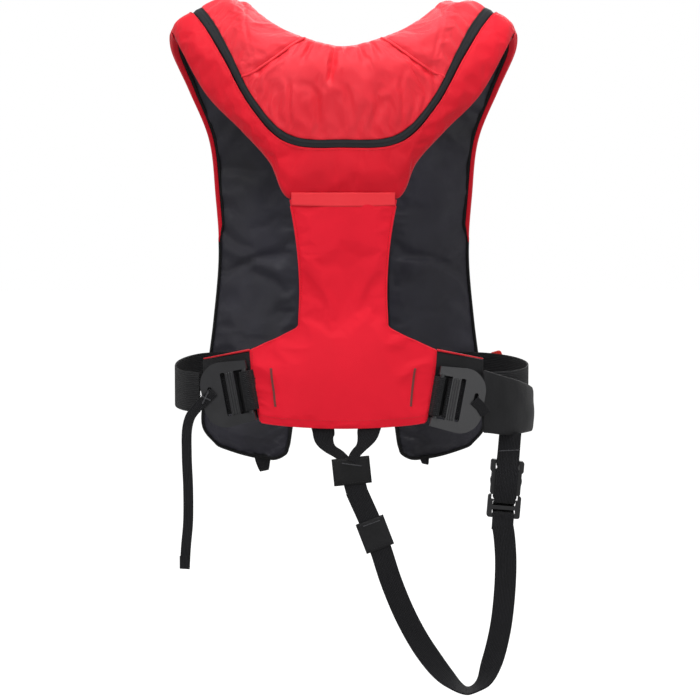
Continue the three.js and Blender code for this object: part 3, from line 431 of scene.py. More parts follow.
@dataclass(frozen=True)
class BrushedSteel:
    """Plain steel turned on a lathe, with fine rings."""

    name: str = "cylinder_steel"

    def material(self) -> bpy.types.Material:
        """Makes the material."""
        net = Net(self.name)
        rings = net.noise(70, 3, 0.6, (0.3, 0.3, 9))
        colour = net.mix(rings, srgb("8C9094"), srgb("C4C8CA"))
        return net.surface(Base_Color=colour, Metallic=1.0, Roughness=(rings * 0.25 + 0.22).clamp(),
                           Normal=net.bump(rings, 0.0002, 0.3))


@dataclass(frozen=True)
class Thread:
    """Twisted sewing thread."""

    name: str
    light: str
    deep: str

    def material(self) -> bpy.types.Material:
        """Makes the material."""
        net = Net(self.name)
        twist = net.noise(1400, 2, 0.6)
        return net.surface(Base_Color=net.mix(twist, srgb(self.deep), srgb(self.light)),
                           Roughness=(0.5 + twist * 0.3).clamp(), Normal=net.bump(twist, 0.0002, 0.5))


class Finish(Enum):
    """Every finish on the jacket, by what it is used for."""

    # painted highlight: the collar and shoulder covers are the same red nylon as the band, given a lighter,
    # pinker colour for the satin highlight of the top light
    COLLAR = CoatedNylon("collar_nylon_painted_highlight", "FC3B48", "E8182C", 0.4, 0.7, 13, 0.1, gloss=0.34)
    RED = CoatedNylon("red_nylon", "F51B31", "CC0F23", 0.52, 0.25, 10, 0.04, gloss=0.16)
    PANEL = CoatedNylon("panel_nylon", "FA1D36", "E01229", 0.54, 0.25, 8, 0.04, gloss=0.16)
    TAPE = CoatedNylon("bonded_tape", "FF434A", "F22E3A", 0.55, 0.1, 20, 0.08, gloss=0.2)
    PIPING = CoatedNylon("red_piping", "E81C2E", "B00F1D", 0.5, 0.2, 40, 0.05)
    LINING = CoatedNylon("lining_nylon", "312F3D", "0F0E15", 0.36, 0.7, 14, 0.1, gloss=0.4)
    BLACK = CoatedNylon("black_nylon", "212124", "060607", 0.46, 0.5, 18, 0.05, gloss=0.25)
    BLADDER = CoatedNylon("bladder_film", "E8C21C", "B88F0C", 0.35, 0.5, 18, 0.0)
    MESH = SpacerMesh("spacer_mesh")
    BINDING = Webbing("edge_binding", "1C1C1F", "050506", 0.0011)
    WEBBING = Webbing("belt_webbing", "29292C", "030304")
    STRAP = Webbing("strap_webbing", "28282C", "030304", 0.0018)
    ZIP = ZipTape()
    PLASTIC = MouldedPlastic("buckle_plastic", "303033", "161618", 0.38)
    DARK_PLASTIC = MouldedPlastic("clip_plastic", "232326", "0F0F11", 0.3)
    SIGNAL_RED = MouldedPlastic("signal_red_plastic", "F0281E", "C41810", 0.35)
    SIGNAL_YELLOW = MouldedPlastic("signal_yellow_plastic", "F2C818", "CF9C08", 0.35)
    STEEL = BrushedSteel()
    BLACK_THREAD = Thread("black_thread", "232327", "0B0B0D")
    GREY_THREAD = Thread("grey_thread", "66666A", "38383C")
    RED_THREAD = Thread("red_thread", "E8202E", "A01020")
    MARK_THREAD = Thread("mark_thread", "6E5048", "46302C")

    def dress(self, piece: bpy.types.Object) -> None:
        """Puts this finish on a piece."""
        name = self.value.name
        material = bpy.data.materials.get(name) or self.value.material()
        piece.data.materials.clear()
        piece.data.materials.append(material)


# ------------------------------------------------------------------ making meshes
def new_piece(name: str, bm: bmesh.types.BMesh, finish: Finish) -> bpy.types.Object:
    """Turns a bmesh into a linked, dressed piece with smooth faces.

    Args:
        name: piece name.
        bm: the mesh, freed here.
        finish: what covers it.

    Returns:
        The new object.
    """
    mesh = bpy.data.meshes.new(name)
    for face in bm.faces:
        face.smooth = True
    bm.to_mesh(mesh)
    bm.free()
    piece = bpy.data.objects.new(name, mesh)
    bpy.context.scene.collection.objects.link(piece)
    finish.dress(piece)
    return piece


def face_away(bm: bmesh.types.BMesh, away: Callable[[Vector], Vector]) -> None:
    """Turns a sheet round if its faces look the wrong way on the whole.

    Args:
        bm: the sheet, with its normals up to date.
        away: for the middle of a face, the direction that it should look to.
    """
    votes = sum(f.normal.dot(away(f.calc_center_median())) * f.calc_area() for f in bm.faces)
    if votes < 0:
        bmesh.ops.reverse_faces(bm, faces=bm.faces[:])
        bm.normal_update()


def close_tube(bm: bmesh.types.BMesh, capped: bool = True) -> None:
    """Joins the seam of a rolled-up grid and turns its faces outwards.

    Args:
        bm: the grid.
        capped: whether its open ends are filled.
    """
    bmesh.ops.remove_doubles(bm, verts=bm.verts[:], dist=MERGE_REACH)
    rims = [e for e in bm.edges if e.is_boundary]
    if rims and capped:
        bmesh.ops.holes_fill(bm, edges=rims, sides=0)
    bmesh.ops.recalc_face_normals(bm, faces=bm.faces[:])


def mapped_grid(across: int, along: int, place: Place, outwards: Vector | None = None) -> bmesh.types.BMesh:
    """A grid bent over a surface, with its UV map in metres.

    Args:
        across: faces along the first parameter.
        along: faces along the second parameter.
        place: point of the surface for two shares from 0 to 1.
        outwards: direction that the faces look to, on the whole.

    Returns:
        The open mesh.
    """
    bm = bmesh.new()
    bmesh.ops.create_grid(bm, x_segments=across, y_segments=along, size=0.5)
    shares = {v: (v.co.x + 0.5, v.co.y + 0.5) for v in bm.verts}
    for v, (a, b) in shares.items():
        v.co = place(a, b)
    half_way = [place(0.5, b) for b in steps(0, 1, along)]
    run = [0.0]
    for p, q in zip(half_way, half_way[1:]):
        run.append(run[-1] + (q - p).length)
    wide = {round(b * along): None for _, b in shares.values()}
    for key in wide:
        row = [place(a, key / along) for a in steps(0, 1, 8)]
        wide[key] = sum((q - p).length for p, q in zip(row, row[1:]))
    layer = bm.loops.layers.uv.new("Weave")
    for face in bm.faces:
        for loop in face.loops:
            a, b = shares[loop.vert]
            loop[layer].uv = ((a - 0.5) * wide[round(b * along)], run[round(b * along)])
    bm.normal_update()
    if outwards is not None:
        face_away(bm, lambda at: outwards)
    return bm


def thicken(piece: bpy.types.Object, wall: float, soften: int = 0) -> None:
    """Gives a sheet its thickness, against its faces' direction, with modifiers that are left live.

    Args:
        piece: the sheet.
        wall: thickness.
        soften: subdivision levels.
    """
    solid = piece.modifiers.new("thickness", "SOLIDIFY")
    solid.thickness, solid.offset, solid.use_even_offset = wall, -1.0, False
    if soften:
        smooth = piece.modifiers.new("softness", "SUBSURF")
        smooth.levels = smooth.render_levels = soften


def swept(name: str, path: Points, section: Callable[[float], tuple[float, float]], across: Across,
          finish: Finish, sides: int) -> bpy.types.Object:
    """A closed, rounded body along a path.

    Args:
        name: piece name.
        path: middle of the body.
        section: half width and half thickness at a share of the way.
        across: direction of the width at a point's number, given the tangent there.
        finish: what covers it.
        sides: faces round the section.

    Returns:
        The piece.
    """
    line = tangents(path)
    last = len(path) - 1

    def place(a: float, b: float) -> Vector:
        """Point of the skin."""
        i = round(b * last)
        wide = across(i, line[i])
        wide = (wide - line[i] * wide.dot(line[i])).normalized()
        face = line[i].cross(wide)
        half_w, half_t = section(i / last)
        return path[i] + wide * (math.cos(a * math.tau) * half_w) + face * (math.sin(a * math.tau) * half_t)

    bm = mapped_grid(sides, last, place)
    close_tube(bm)
    return new_piece(name, bm, finish)


def strip(name: str, path: Points, width: float | Callable[[float], float], wall: float,
          across: Across, finish: Finish, rounding: float = 0.4 * MM) -> bpy.types.Object:
    """Flat webbing along a path, with softly rounded selvedges.

    Args:
        name: piece name.
        path: middle of the webbing.
        width: from selvedge to selvedge, or that at a share of the way.
        wall: thickness.
        across: direction of the width at a point's number, given the tangent there.
        finish: what covers it.
        rounding: bevel along the edges.

    Returns:
        The piece, a closed solid.
    """
    line = tangents(path)
    last = len(path) - 1
    lay = []
    for i, ahead in enumerate(line):
        wide = across(i, ahead)
        lay.append((wide - ahead * wide.dot(ahead)).normalized())

    def place(a: float, b: float) -> Vector:
        """Point of the webbing's middle layer."""
        i = round(b * last)
        return path[i] + lay[i] * ((a - 0.5) * (width(i / last) if callable(width) else width))

    bm = mapped_grid(6, last, place)
    bmesh.ops.solidify(bm, geom=bm.faces[:], thickness=wall)
    bmesh.ops.recalc_face_normals(bm, faces=bm.faces[:])
    piece = new_piece(name, bm, finish)
    edge = piece.modifiers.new("selvedge", "BEVEL")
    edge.width, edge.segments, edge.limit_method, edge.angle_limit = rounding, 2, "ANGLE", math.radians(50)
    edge.use_clamp_overlap = True
    return piece


def hard_copy(node: str, finish: Finish, bevel: float) -> None:
    """A merged, bevelled copy of a solid, which it stands for and rides with.

    Args:
        node: the solid's name.
        finish: what covers it.
        bevel: rounding of its edges.
    """
    source = frame["nodes"][node]
    bm = bmesh.new()
    bm.from_mesh(source.data)
    bmesh.ops.remove_doubles(bm, verts=bm.verts[:], dist=MERGE_REACH)
    bmesh.ops.dissolve_limit(bm, angle_limit=math.radians(1), verts=bm.verts[:], edges=bm.edges[:])
    piece = new_piece(f"{node}_moulded", bm, finish)
    edge = piece.modifiers.new("rounding", "BEVEL")
    edge.width, edge.segments, edge.limit_method, edge.angle_limit = bevel, 2, "ANGLE", math.radians(32)
    edge.use_clamp_overlap = True
    edge.profile = 0.5
    piece.data.set_sharp_from_angle(angle=math.radians(33))
    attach(piece, body_of_node(node))
    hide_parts(node)


def body_of_node(node: str) -> str:
    """The moving body that a solid belongs to."""
    for name, nodes in frame["record"]["behaviour"]["bodies"].items():
        if node in nodes:
            return name
    return "jacket"


def on_cloth(cloth: bpy.types.Object, points: Points, lift: float) -> list[Vector]:
    """Moves points onto the outer face of a cloth piece, as it lies after settling.

    Args:
        cloth: the piece.
        points: places near it.
        lift: distance off its face.

    Returns:
        One point for each given.
    """
    mesh = cloth.data
    tree = BVHTree.FromPolygons([v.co for v in mesh.vertices], [face.vertices for face in mesh.polygons])
    found = (tree.find_nearest(p) for p in points)
    return [at + normal * lift for at, normal, _, _ in found]


@dataclass(frozen=True)
class Stitching:
    """A run of sewn stitches, each a small rounded bead."""

    pitch: float = 0.0036
    length: float = 0.0027
    radius: float = 0.00038

    def sew(self, name: str, path: Points, finish: Finish) -> None:
        """Sews along a path that already lies on the jacket's cloth.

        Args:
            name: piece name.
            path: points on the cloth.
            finish: the thread.
        """
        curve_len = sum((b - a).length for a, b in zip(path, path[1:]))
        count = max(2, int(curve_len / self.pitch))
        spots = SmoothCurve(path).even(count)
        bm = bmesh.new()
        for spot, ahead in zip(spots, tangents(spots)):
            turn = ahead.to_track_quat("X", "Z").to_matrix().to_4x4()
            size = Matrix.Diagonal((self.length / 2, self.radius, self.radius, 1))
            bmesh.ops.create_uvsphere(bm, u_segments=6, v_segments=4, radius=1,
                                      matrix=Matrix.Translation(spot) @ turn @ size)
        piece = new_piece(name, bm, finish)
        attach(piece, "jacket")


@dataclass(frozen=True)
class BarTack:
    """A dense block of zigzag stitches that holds two layers."""

    rows: int = 4
    row_gap: float = 0.0009
    thread: float = 0.00045

    def sew(self, name: str, start: Vector, end: Vector, outwards: Vector, finish: Finish,
            body: str = "jacket", cloth: bpy.types.Object | None = None) -> None:
        """Sews the block from start to end.

        Args:
            name: piece name.
            start: one end of the block.
            end: the other end.
            outwards: direction off the cloth.
            finish: the thread.
            body: what it rides on.
            cloth: piece that the block lies on, where that is uneven.
        """
        ahead = (end - start).normalized()
        side = ahead.cross(outwards).normalized()
        bm = bmesh.new()
        count = max(3, int((end - start).length / 0.0011))
        half = self.rows * self.row_gap / 2
        spots = [start.lerp(end, t) + outwards * self.thread * 0.4 for t in steps(0, 1, count)]
        if cloth:
            spots = on_cloth(cloth, spots, self.thread * 0.8)
        for i, spot in enumerate(spots):
            lean = (ahead * (0.0005 if i % 2 else -0.0005) + side).normalized()
            turn = lean.to_track_quat("X", "Z").to_matrix().to_4x4()
            at = Matrix.Translation(spot)
            size = Matrix.Diagonal((half, self.thread, self.thread, 1))
            bmesh.ops.create_uvsphere(bm, u_segments=6, v_segments=4, radius=1, matrix=at @ turn @ size)
        piece = new_piece(name, bm, finish)
        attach(piece, body)


@dataclass(frozen=True)
class ClothSettle:
    """Lets a sheet held at its borders settle into its own small folds."""

    frames: int = 12
    slack: float = 0.025
    pressure: float = 1.2
    reach: float = 0.004

    def settle(self, piece: bpy.types.Object, held: Sequence[int]) -> None:
        """Simulates the sheet and keeps the result, capped.

        Args:
            piece: an open sheet.
            held: numbers of the points that stay where they are.
        """
        scene = bpy.context.scene
        rest = [v.co.copy() for v in piece.data.vertices]
        group = piece.vertex_groups.new(name="held")
        group.add(list(held), 1.0, "REPLACE")
        cloth = piece.modifiers.new("settle", "CLOTH")
        how = cloth.settings
        how.quality, how.mass, how.bending_stiffness = 4, 0.2, 0.6
        how.tension_stiffness = how.compression_stiffness = how.shear_stiffness = 12
        how.vertex_group_mass, how.shrink_min = "held", -self.slack
        how.use_pressure, how.uniform_pressure_force = True, self.pressure
        how.effector_weights.gravity = 0
        cloth.collision_settings.use_collision = False
        cloth.point_cache.frame_start, cloth.point_cache.frame_end = 1, self.frames
        for number in range(1, self.frames + 1):
            scene.frame_set(number)
        settled = piece.evaluated_get(bpy.context.evaluated_depsgraph_get()).to_mesh()
        moved = [v.co.copy() for v in settled.vertices]
        piece.modifiers.remove(cloth)
        piece.vertex_groups.clear()
        for v, a, b in zip(piece.data.vertices, rest, moved):
            shift = b - a
            if shift.length > self.reach:
                shift *= self.reach / shift.length
            v.co = a + shift if all(math.isfinite(c) for c in shift) else a
        piece.data.update()
        scene.frame_set(1)


def grid_rim(piece: bpy.types.Object) -> list[int]:
    """Numbers of the points on an open sheet's border."""
    count: dict[tuple[int, int], int] = {}
    for face in piece.data.polygons:
        for key in face.edge_keys:
            count[key] = count.get(key, 0) + 1
    return sorted({v for key, n in count.items() if n == 1 for v in key})


# ------------------------------------------------------------------ the yoke's own surface
NECK_EDGE = (
    (0, -90, -8), (26, -88, -3.5), (48, -79, 4), (70, -64, 14), (86, -44, 24), (97, -22, 31),
    (102, 2, 31), (101, 30, 16), (93, 62, -27), (76, 92, -95), (61, 108, -175), (56, 114, -255),
    (56, 114, -340), (61.5, 110, -420), (69, 104.5, -482), (74, 103, -517))
ZIP_LINE = (
    (0, -113, -121.6), (46, -112, -121), (84, -107, -104), (108, -98, -69), (134, -77, -19),
    (158, -43, 18), (179, -5, 43), (190, 38, 26), (178, 88, -38), (158, 126, -108),
    (147, 142, -180), (143, 148, -255), (149, 146, -340), (159, 140, -420), (163, 128, -478),
    (148, 118, -500))
OUTER_EDGE = (
    (0, -104, -186), (64, -99, -186), (86, -95, -143.6), (118, -86, -108), (160, -64, -66),
    (194, -34, -10), (208, -2, 13), (211, 36, -4), (193, 80, -50), (170, 106, -110),
    (163, 120, -180), (159, 126, -255), (166, 125, -340), (176, 120, -420), (180, 113, -476),
    (162, 111, -499))
SEAM_Z = -186 * MM
SIDES = (("right", 1), ("left", -1))
SEAM_SHARE = 0.0004
Edge = tuple[int, Callable[[float], float]]


def station(k: float) -> float:
    """Share of the way from the middle of the back to a lobe's end."""
    return k / (len(NECK_EDGE) - 1)


@dataclass(frozen=True)
class YokeSection:
    """A section through the yoke: q runs from the neck edge outwards, h stands off the body."""

    neck: Vector
    across: Vector
    out: Vector
    width: float
    zip_q: float
    zip_h: float
    puff: float
    end: float = 0.0
    end_belly: float = 4.5 * MM
    end_corner: float = 9 * MM

    def at(self, q: float, h: float) -> Vector:
        """Point of the section; a lobe's end bellies down, with a rounded inner corner."""
        share = min(1.0, max(0.0, q / self.width))
        inner = max(0.0, (0.22 - share) / 0.22)
        lift = self.end * (self.end_corner * inner**2 - self.end_belly * math.sin(math.pi * share))
        return self.neck + self.across * q + self.out * h + Vector((0, 0, lift))


@dataclass
class YokeForm:
    """The jacket's horseshoe, from the left lobe's end (-1) over the back (0) to the right's (1)."""

    lining: float = 6 * MM
    cover: float = 2.5 * MM
    gap: float = 0.3 * MM
    zip_half: float = 5.2 * MM
    zip_half_back: float = 3.8 * MM
    zip_rise: float = 0.7 * MM
    collar_puff: float = 18 * MM
    lobe_puff: float = 32 * MM
    band_puff: float = 4 * MM

    def __post_init__(self) -> None:
        """Lays the three lines."""
        self.top = self.lining + self.gap + self.cover
        self.lines = [self._both(line) for line in (NECK_EDGE, ZIP_LINE, OUTER_EDGE)]
        self.known: dict[float, YokeSection] = {}

    @staticmethod
    def _both(line: Sequence[tuple[float, float, float]]) -> SmoothCurve:
        """A line and its mirror image as one curve."""
        right = [vec(*p) for p in line]
        return SmoothCurve([Vector((-p.x, p.y, p.z)) for p in reversed(right[1:])] + right)

    def section(self, s: float) -> YokeSection:
        """The section at share s."""
        key = round(s, 6)
        if key not in self.known:
            self.known[key] = self._section(key)
        return self.known[key]

    def _section(self, s: float) -> YokeSection:
        """Works one section out.

        Args:
            s: share from -1 to 1.

        Returns:
            The section.
        """
        neck_line, zip_line, outer_line = self.lines
        share, small = (s + 1) / 2, 0.002
        neck, outer = neck_line.at(share), outer_line.at(share)
        if abs(s) < station(1):
            outer.z = SEAM_Z

        def middle(t: float) -> Vector:
            """Sum of the neck and zip lines."""
            t = min(1.0, max(0.0, t))
            return neck_line.at(t) + zip_line.at(t)

        ahead = middle(share + small) - middle(share - small)
        across = outer - neck
        width = across.length
        across = across.normalized()
        out = across.cross(ahead).normalized()
        to_zip = zip_line.at(share) - neck
        end = min(1.0, max(0.0, (abs(s) - 0.93) / 0.07))
        closing = math.sqrt(max(0.0, 1 - end * end))
        on_lobe = smoothstep(abs(s), station(6), station(9))
        return YokeSection(neck, across, out, width, to_zip.dot(across),
                           self.top + (to_zip.dot(out) - self.top) * closing,
                           lerp(self.collar_puff, self.lobe_puff, on_lobe) * closing,
                           smoothstep(abs(s), 0.955, 1.0))

    def half_zip(self, s: float) -> float:
        """Half the zip's width, which looks narrower where it runs under the collar."""
        return lerp(self.zip_half_back, self.zip_half, smoothstep(abs(s), 0, station(4)))

    def cover_point(self, s: float, x: float, lift: float = 0.0) -> Vector:
        """Point on the cover, x from the neck edge to the zip."""
        here = self.section(s)
        u = (1 - (self.half_zip(s) + self.gap) / here.zip_q) * x**1.4
        swell = u**0.6 * (1 - u) * 2.88
        height = lerp(self.top, here.zip_h, u) + here.puff * swell
        roll = (1 - smoothstep(x, 0, 0.12)) ** 2
        return here.at(u * here.zip_q - roll * 1.2 * MM, height + lift - roll * 5.2 * MM)

    def band_point(self, s: float, x: float, lift: float = 0.0) -> Vector:
        """Point on the outer band.

        Args:
            s: share of the section.
            x: 0 at the zip to 1 at the outer edge.
            lift: distance off the cloth.

        Returns:
            The point.
        """
        here = self.section(s)
        rise_q, rise_h = here.width - here.zip_q, self.top - here.zip_h
        length = math.hypot(rise_q, rise_h)
        w = lerp((self.half_zip(s) + self.gap) / length, 1, x)
        swell = self.band_puff * 4 * w * (1 - w) + lift
        roll = smoothstep(x, 0.86, 1) ** 2
        proud = lerp(0.8, 2.4, self.hem_share(s)) * MM
        return here.at(here.zip_q + rise_q * w - rise_h / length * swell + roll * proud,
                       here.zip_h + rise_h * w + rise_q / length * swell - roll * 5.2 * MM)

    def hem_share(self, s: float) -> float:
        """1 along the lobes' upper part, where the band's hem turns onto the body side."""
        begun = smoothstep(abs(s), station(5.6), station(6.6))
        return begun * (1 - smoothstep(abs(s), station(10.45), station(10.75)))

    def hem_width(self, s: float) -> float:
        """Width of the turned hem."""
        return lerp(8.5, 4.6, smoothstep(abs(s), station(6.4), station(9.5))) * MM

    def zip_point(self, s: float, x: float) -> Vector:
        """Point on the zip.

        Args:
            s: share of the section.
            x: 0 at its cover side to 1 at its band side.

        Returns:
            The point.
        """
        here = self.section(s)
        off = (x - 0.5) * 2 * (self.half_zip(s) + 0.6 * MM)
        lift = self.zip_rise + 0.5 * MM * (1 - abs(x - 0.5) * 2)
        if x < 0.5:
            u = 1 + off / here.zip_q
            swell = here.puff * max(0.0, u) ** 0.6 * (1 - u) * 2.88
            return here.at(here.zip_q + off,
                           lerp(self.top, here.zip_h, u) + swell + lift * (1 - 0.9 * (0.5 - x) * 2))
        rise_q, rise_h = here.width - here.zip_q, self.top - here.zip_h
        length = math.hypot(rise_q, rise_h)
        return here.at(here.zip_q + rise_q / length * off, here.zip_h + rise_h / length * off
                       + lift * (1 - 0.9 * (x - 0.5) * 2))


def wander(p: Vector, size: float, seed: float = 0.0) -> float:
    """Smooth unevenness from -1 to 1, the same on every run."""
    return noise.noise(Vector((p.x / size + seed, p.y / size - seed, p.z / size + 2 * seed)))


class YokeCloth:
    """Collar, shoulder, lobe and lining cloth with its bindings and the long zip."""

    DART = (station(1.7), station(3.4))
    CREASES = (
        (-1.75, 0.02, 0.5, 3.4, -0.5), (-1.25, 0.0, 0.46, 5.4, -0.35), (-0.8, 0.0, 0.3, 3.6, -0.3),
        (-0.32, 0.0, 0.62, 5.4, -0.1), (0.1, 0.0, 0.34, 3.6, 0.1), (0.62, 0.0, 0.42, 4.2, 0.25),
        (1.15, 0.0, 0.4, 4.8, 0.4), (-0.75, 0.6, 0.95, 4.4, 0.5), (0.1, 0.56, 0.92, 4.2, 0.5),
        (0.85, 0.64, 0.96, 3.4, 0.3), (-1.7, 0.62, 0.96, 3.6, 0.7), (1.9, 0.6, 0.95, 3.2, -0.5))
    CHEST_END = station(10.5)
    BAND_END = station(11)
    LINING_SPLIT = station(5.6)
    ZIP_END = 0.975

    def __init__(self, form: YokeForm) -> None:
        """Keeps the form that the cloth is laid over."""
        self.form = form
        self.bands: dict[str, bpy.types.Object] = {}

    def build(self) -> None:
        """Makes every piece of the yoke."""
        self._cover("collar_shell", "collar_cover", (-1, self.dart), (1, self.dart), 190, Finish.COLLAR,
                    self._collar_folds)
        for side, sign in SIDES:
            self._cover(f"shoulder_shell_{side}", f"shoulder_cover_{side}", (sign, self.dart),
                        (sign, self.chest), 150, Finish.COLLAR, self._shoulder_folds)
            self._cover(f"lobe_shell_{side}", f"lobe_cover_{side}", (sign, self.chest), (sign, self.tip),
                        96, Finish.BLACK, self._lobe_folds)
            self._welt(f"dart_welt_{side}", sign, self.dart, -1.6 * MM, Finish.COLLAR)
            self._welt(f"chest_welt_{side}", sign, self.chest, 0.2 * MM, Finish.BLACK)
            self._hem(side, sign)
            self._band(f"side_strip_{side}", (f"side_band_{side}",), sign * self.BAND_END, sign * 1.0, 80,
                       Finish.BLACK)
            self._lining(f"lobe_body_{side}", f"lobe_lining_{side}", sign * self.LINING_SPLIT, sign * 1.0,
                         150, Finish.LINING)
            self._binding(side, sign)
            self._end_tab(side, sign)
        self._band("yoke_band", ("shoulder_yoke",), -self.BAND_END, self.BAND_END, 330, Finish.RED)
        self._lining("collar_pad", "collar_lining", -self.LINING_SPLIT, self.LINING_SPLIT, 170, Finish.MESH)
        self._zip()
        self._topstitching()
        self._bladder()
        LOG.info("yoke cloth, bindings and zip made")

    # ---- where one panel of the cover ends, for a share x from the neck edge to the zip
    def dart(self, x: float) -> float:
        """Slanted seam between the collar and a shoulder."""
        return lerp(*self.DART, x)

    def chest(self, x: float) -> float:
        """Seam between a shoulder and a lobe's face."""
        return self.CHEST_END

    def tip(self, x: float) -> float:
        """A lobe's end."""
        return 1.0

    # ---- folds, as a lift off the cloth
    def _beside_dart(self, s: float, x: float) -> float:
        """Depth of the cloth drawn in along the dart."""
        away = (abs(s) - self.dart(x)) / station(1)
        depth = 3.4 * MM * math.exp(-((away / 0.2) ** 2))
        return depth * smoothstep(x, 0, 0.12) * (1 - smoothstep(x, 0.72, 0.95))

    def _collar_folds(self, s: float, x: float, p: Vector) -> float:
        """Gathers and soft dents of the collar.

        Args:
            s: share of the section.
            x: share from the neck edge to the zip.
            p: the point there.

        Returns:
            Lift of the cloth.
        """
        lift = wander(p, 0.045, 1.3) * 3.0 * MM * math.sin(math.pi * x) + wander(p, 0.018, 2.3) * 0.9 * MM
        fan = math.sin(s * 95 + 2.2 * x) * 0.6 + math.sin(s * 173 + 1.1 + 4 * x) * 0.4
        lift += fan * 1.3 * MM * math.exp(-((s / 0.1) ** 2)) * (1 - smoothstep(x, 0.3, 0.7))
        for at, start, stop, depth, lean in self.CREASES:
            off = s - station(at + lean * (x - start))
            along = smoothstep(x, start - 0.02, start + 0.06) * (1 - smoothstep(x, stop - 0.2, stop))
            furrow = math.exp(-((off / 0.0075) ** 2)) - 0.45 * math.exp(-((off / 0.02) ** 2))
            lift -= depth * MM * along * furrow
        hem = math.sin(s * 210 + wander(p, 0.03, 4) * 2) * 0.8 * MM
        lift += hem * smoothstep(x, 0.72, 0.92) * (1 - smoothstep(x, 0.94, 1))
        return lift - self._beside_dart(s, x)

    def _shoulder_folds(self, s: float, x: float, p: Vector) -> float:
        """Puckers of the shoulder covers."""
        lift = wander(p, 0.05, 2.1) * 2.6 * MM * math.sin(math.pi * x) + wander(p, 0.018, 3.1) * 0.5 * MM
        slack = x - 0.5 + 3.4 * (abs(s) - station(4.2))
        lift -= 1.5 * MM * bump_at(slack, 0, 0.05) * bump_at(abs(s), station(4.2), station(1.1))
        pucker = math.sin(abs(s) * 240 + 2 * x) * 0.7 * MM
        lift += pucker * smoothstep(x, 0.7, 0.95) * (1 - smoothstep(x, 0.95, 1))
        return lift - self._beside_dart(s, x)

    def _lobe_folds(self, s: float, x: float, p: Vector) -> float:
        """Folds of the lobes' outer faces."""
        lift = wander(p, 0.055, 3.7) * 3.0 * MM * math.sin(math.pi * x)
        pucker = math.sin(abs(s) * 260) * 0.6 * MM
        return lift + pucker * smoothstep(x, 0.75, 0.95) * (1 - smoothstep(x, 0.95, 1))

    def _cover(self, name: str, node: str, start: Edge, stop: Edge, along: int, finish: Finish,
               folds: Callable[[float, float, Vector], float]) -> None:
        """One panel of the inflatable side's cover.

        Args:
            name: piece name.
            node: the solid it stands for.
            start: side (-1 or 1) and seam where the panel begins.
            stop: side and seam where it ends.
            along: faces between the two.
            finish: what covers it.
            folds: lift of the cloth at a section, a share across it and a point.
        """
        ways = (start, stop)
        turn = 1 if stop[0] * stop[1](0.5) > start[0] * start[1](0.5) else -1

        def place(x: float, t: float) -> Vector:
            """Point of the panel with its folds."""
            a, b = (sign * seam(x) for sign, seam in ways)
            s = lerp(a + turn * SEAM_SHARE, b - turn * SEAM_SHARE, t)
            return self.form.cover_point(s, x, folds(s, x, self.form.cover_point(s, x)))

        out = self.form.section((start[0] * start[1](0.5) + stop[0] * stop[1](0.5)) / 2).out
        bm = mapped_grid(34, along, place, outwards=out)
        piece = new_piece(name, bm, finish)
        ClothSettle(slack=0.03, pressure=1.5, reach=5 * MM).settle(piece, grid_rim(piece))
        thicken(piece, self.form.cover, 1)
        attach(piece, "jacket")
        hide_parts(node)

    def _band(self, name: str, nodes: tuple[str, ...], s0: float, s1: float, along: int,
              finish: Finish) -> None:
        """The outer band between the zip and the outer edge.

        Args:
            name: piece name.
            nodes: the solids it stands for.
            s0: share where it begins.
            s1: share where it ends.
            along: faces between the two.
            finish: what covers it.
        """
        edge = SEAM_SHARE if s1 > s0 else -SEAM_SHARE
        a, b = s0 + edge, s1 - edge

        def place(x: float, t: float) -> Vector:
            """Point of the band, slightly uneven."""
            s = lerp(a, b, t)
            flat = self.form.band_point(s, x)
            lift = wander(flat, 0.06, 5.5) * 1.2 * MM + wander(flat, 0.02, 6.5) * 0.3 * MM
            return self.form.band_point(s, x, lift * math.sin(math.pi * x))

        bm = mapped_grid(14, along, place)
        face_away(bm, lambda at: Vector((at.x, at.y, 0)))
        piece = self.bands[name] = new_piece(name, bm, finish)
        ClothSettle(slack=0.012, pressure=0.8, reach=2.5 * MM).settle(piece, grid_rim(piece))
        thicken(piece, 2.2 * MM, 1)
        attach(piece, "jacket")
        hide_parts(*nodes)

    def _lining(self, name: str, node: str, s0: float, s1: float, along: int, finish: Finish) -> None:
        """Body side of the yoke, softly quilted between its bound edges.

        Args:
            name: piece name.
            node: the solid it stands for.
            s0: share where it begins.
            s1: share where it ends.
            along: faces between the two.
            finish: what covers it.
        """
        edge = SEAM_SHARE if s1 > s0 else -SEAM_SHARE
        a, b = s0 + edge, s1 - edge
        is_lobe = finish is Finish.LINING

        def place(x: float, t: float) -> Vector:
            """Point on the body side."""
            s = lerp(a, b, t)
            here = self.form.section(s)
            p = here.at(here.width * x, 0)
            ends = smoothstep(t, 0, 0.05) * (1 - smoothstep(t, 0.95, 1))
            dome = (1 - abs(2 * x - 1) ** 3) * ends
            lift = dome * (5.0 * MM if is_lobe else 3.0 * MM) - 1.2 * MM
            if is_lobe:
                lift += (wander(p, 0.05, 7.5) * 2.4 + wander(p, 0.02, 6.5) * 0.5) * MM * dome
                pucker = math.sin(p.z * 520 + wander(p, 0.02, 8) * 3)
                lift += pucker * 1.7 * MM * bump_at(x, 0.13, 0.11) * (0.25 + 0.75 * abs(wander(p, 0.06, 9)))
                bow = p.z + 0.255 + 0.05 * (x - 0.2) ** 2
                dip = 3.6 * MM * bump_at(bow, 0, 0.007)
                lift -= dip * smoothstep(x, 0.02, 0.2) * (1 - smoothstep(x, 0.7, 0.95))
                slant = p.z + 0.29 - 0.045 * x
                ridge = 3.2 * MM * bump_at(slant, 0, 0.009)
                lift += ridge * smoothstep(x, 0.05, 0.3) * (1 - smoothstep(x, 0.75, 1))
            return here.at(here.width * x, -lift)

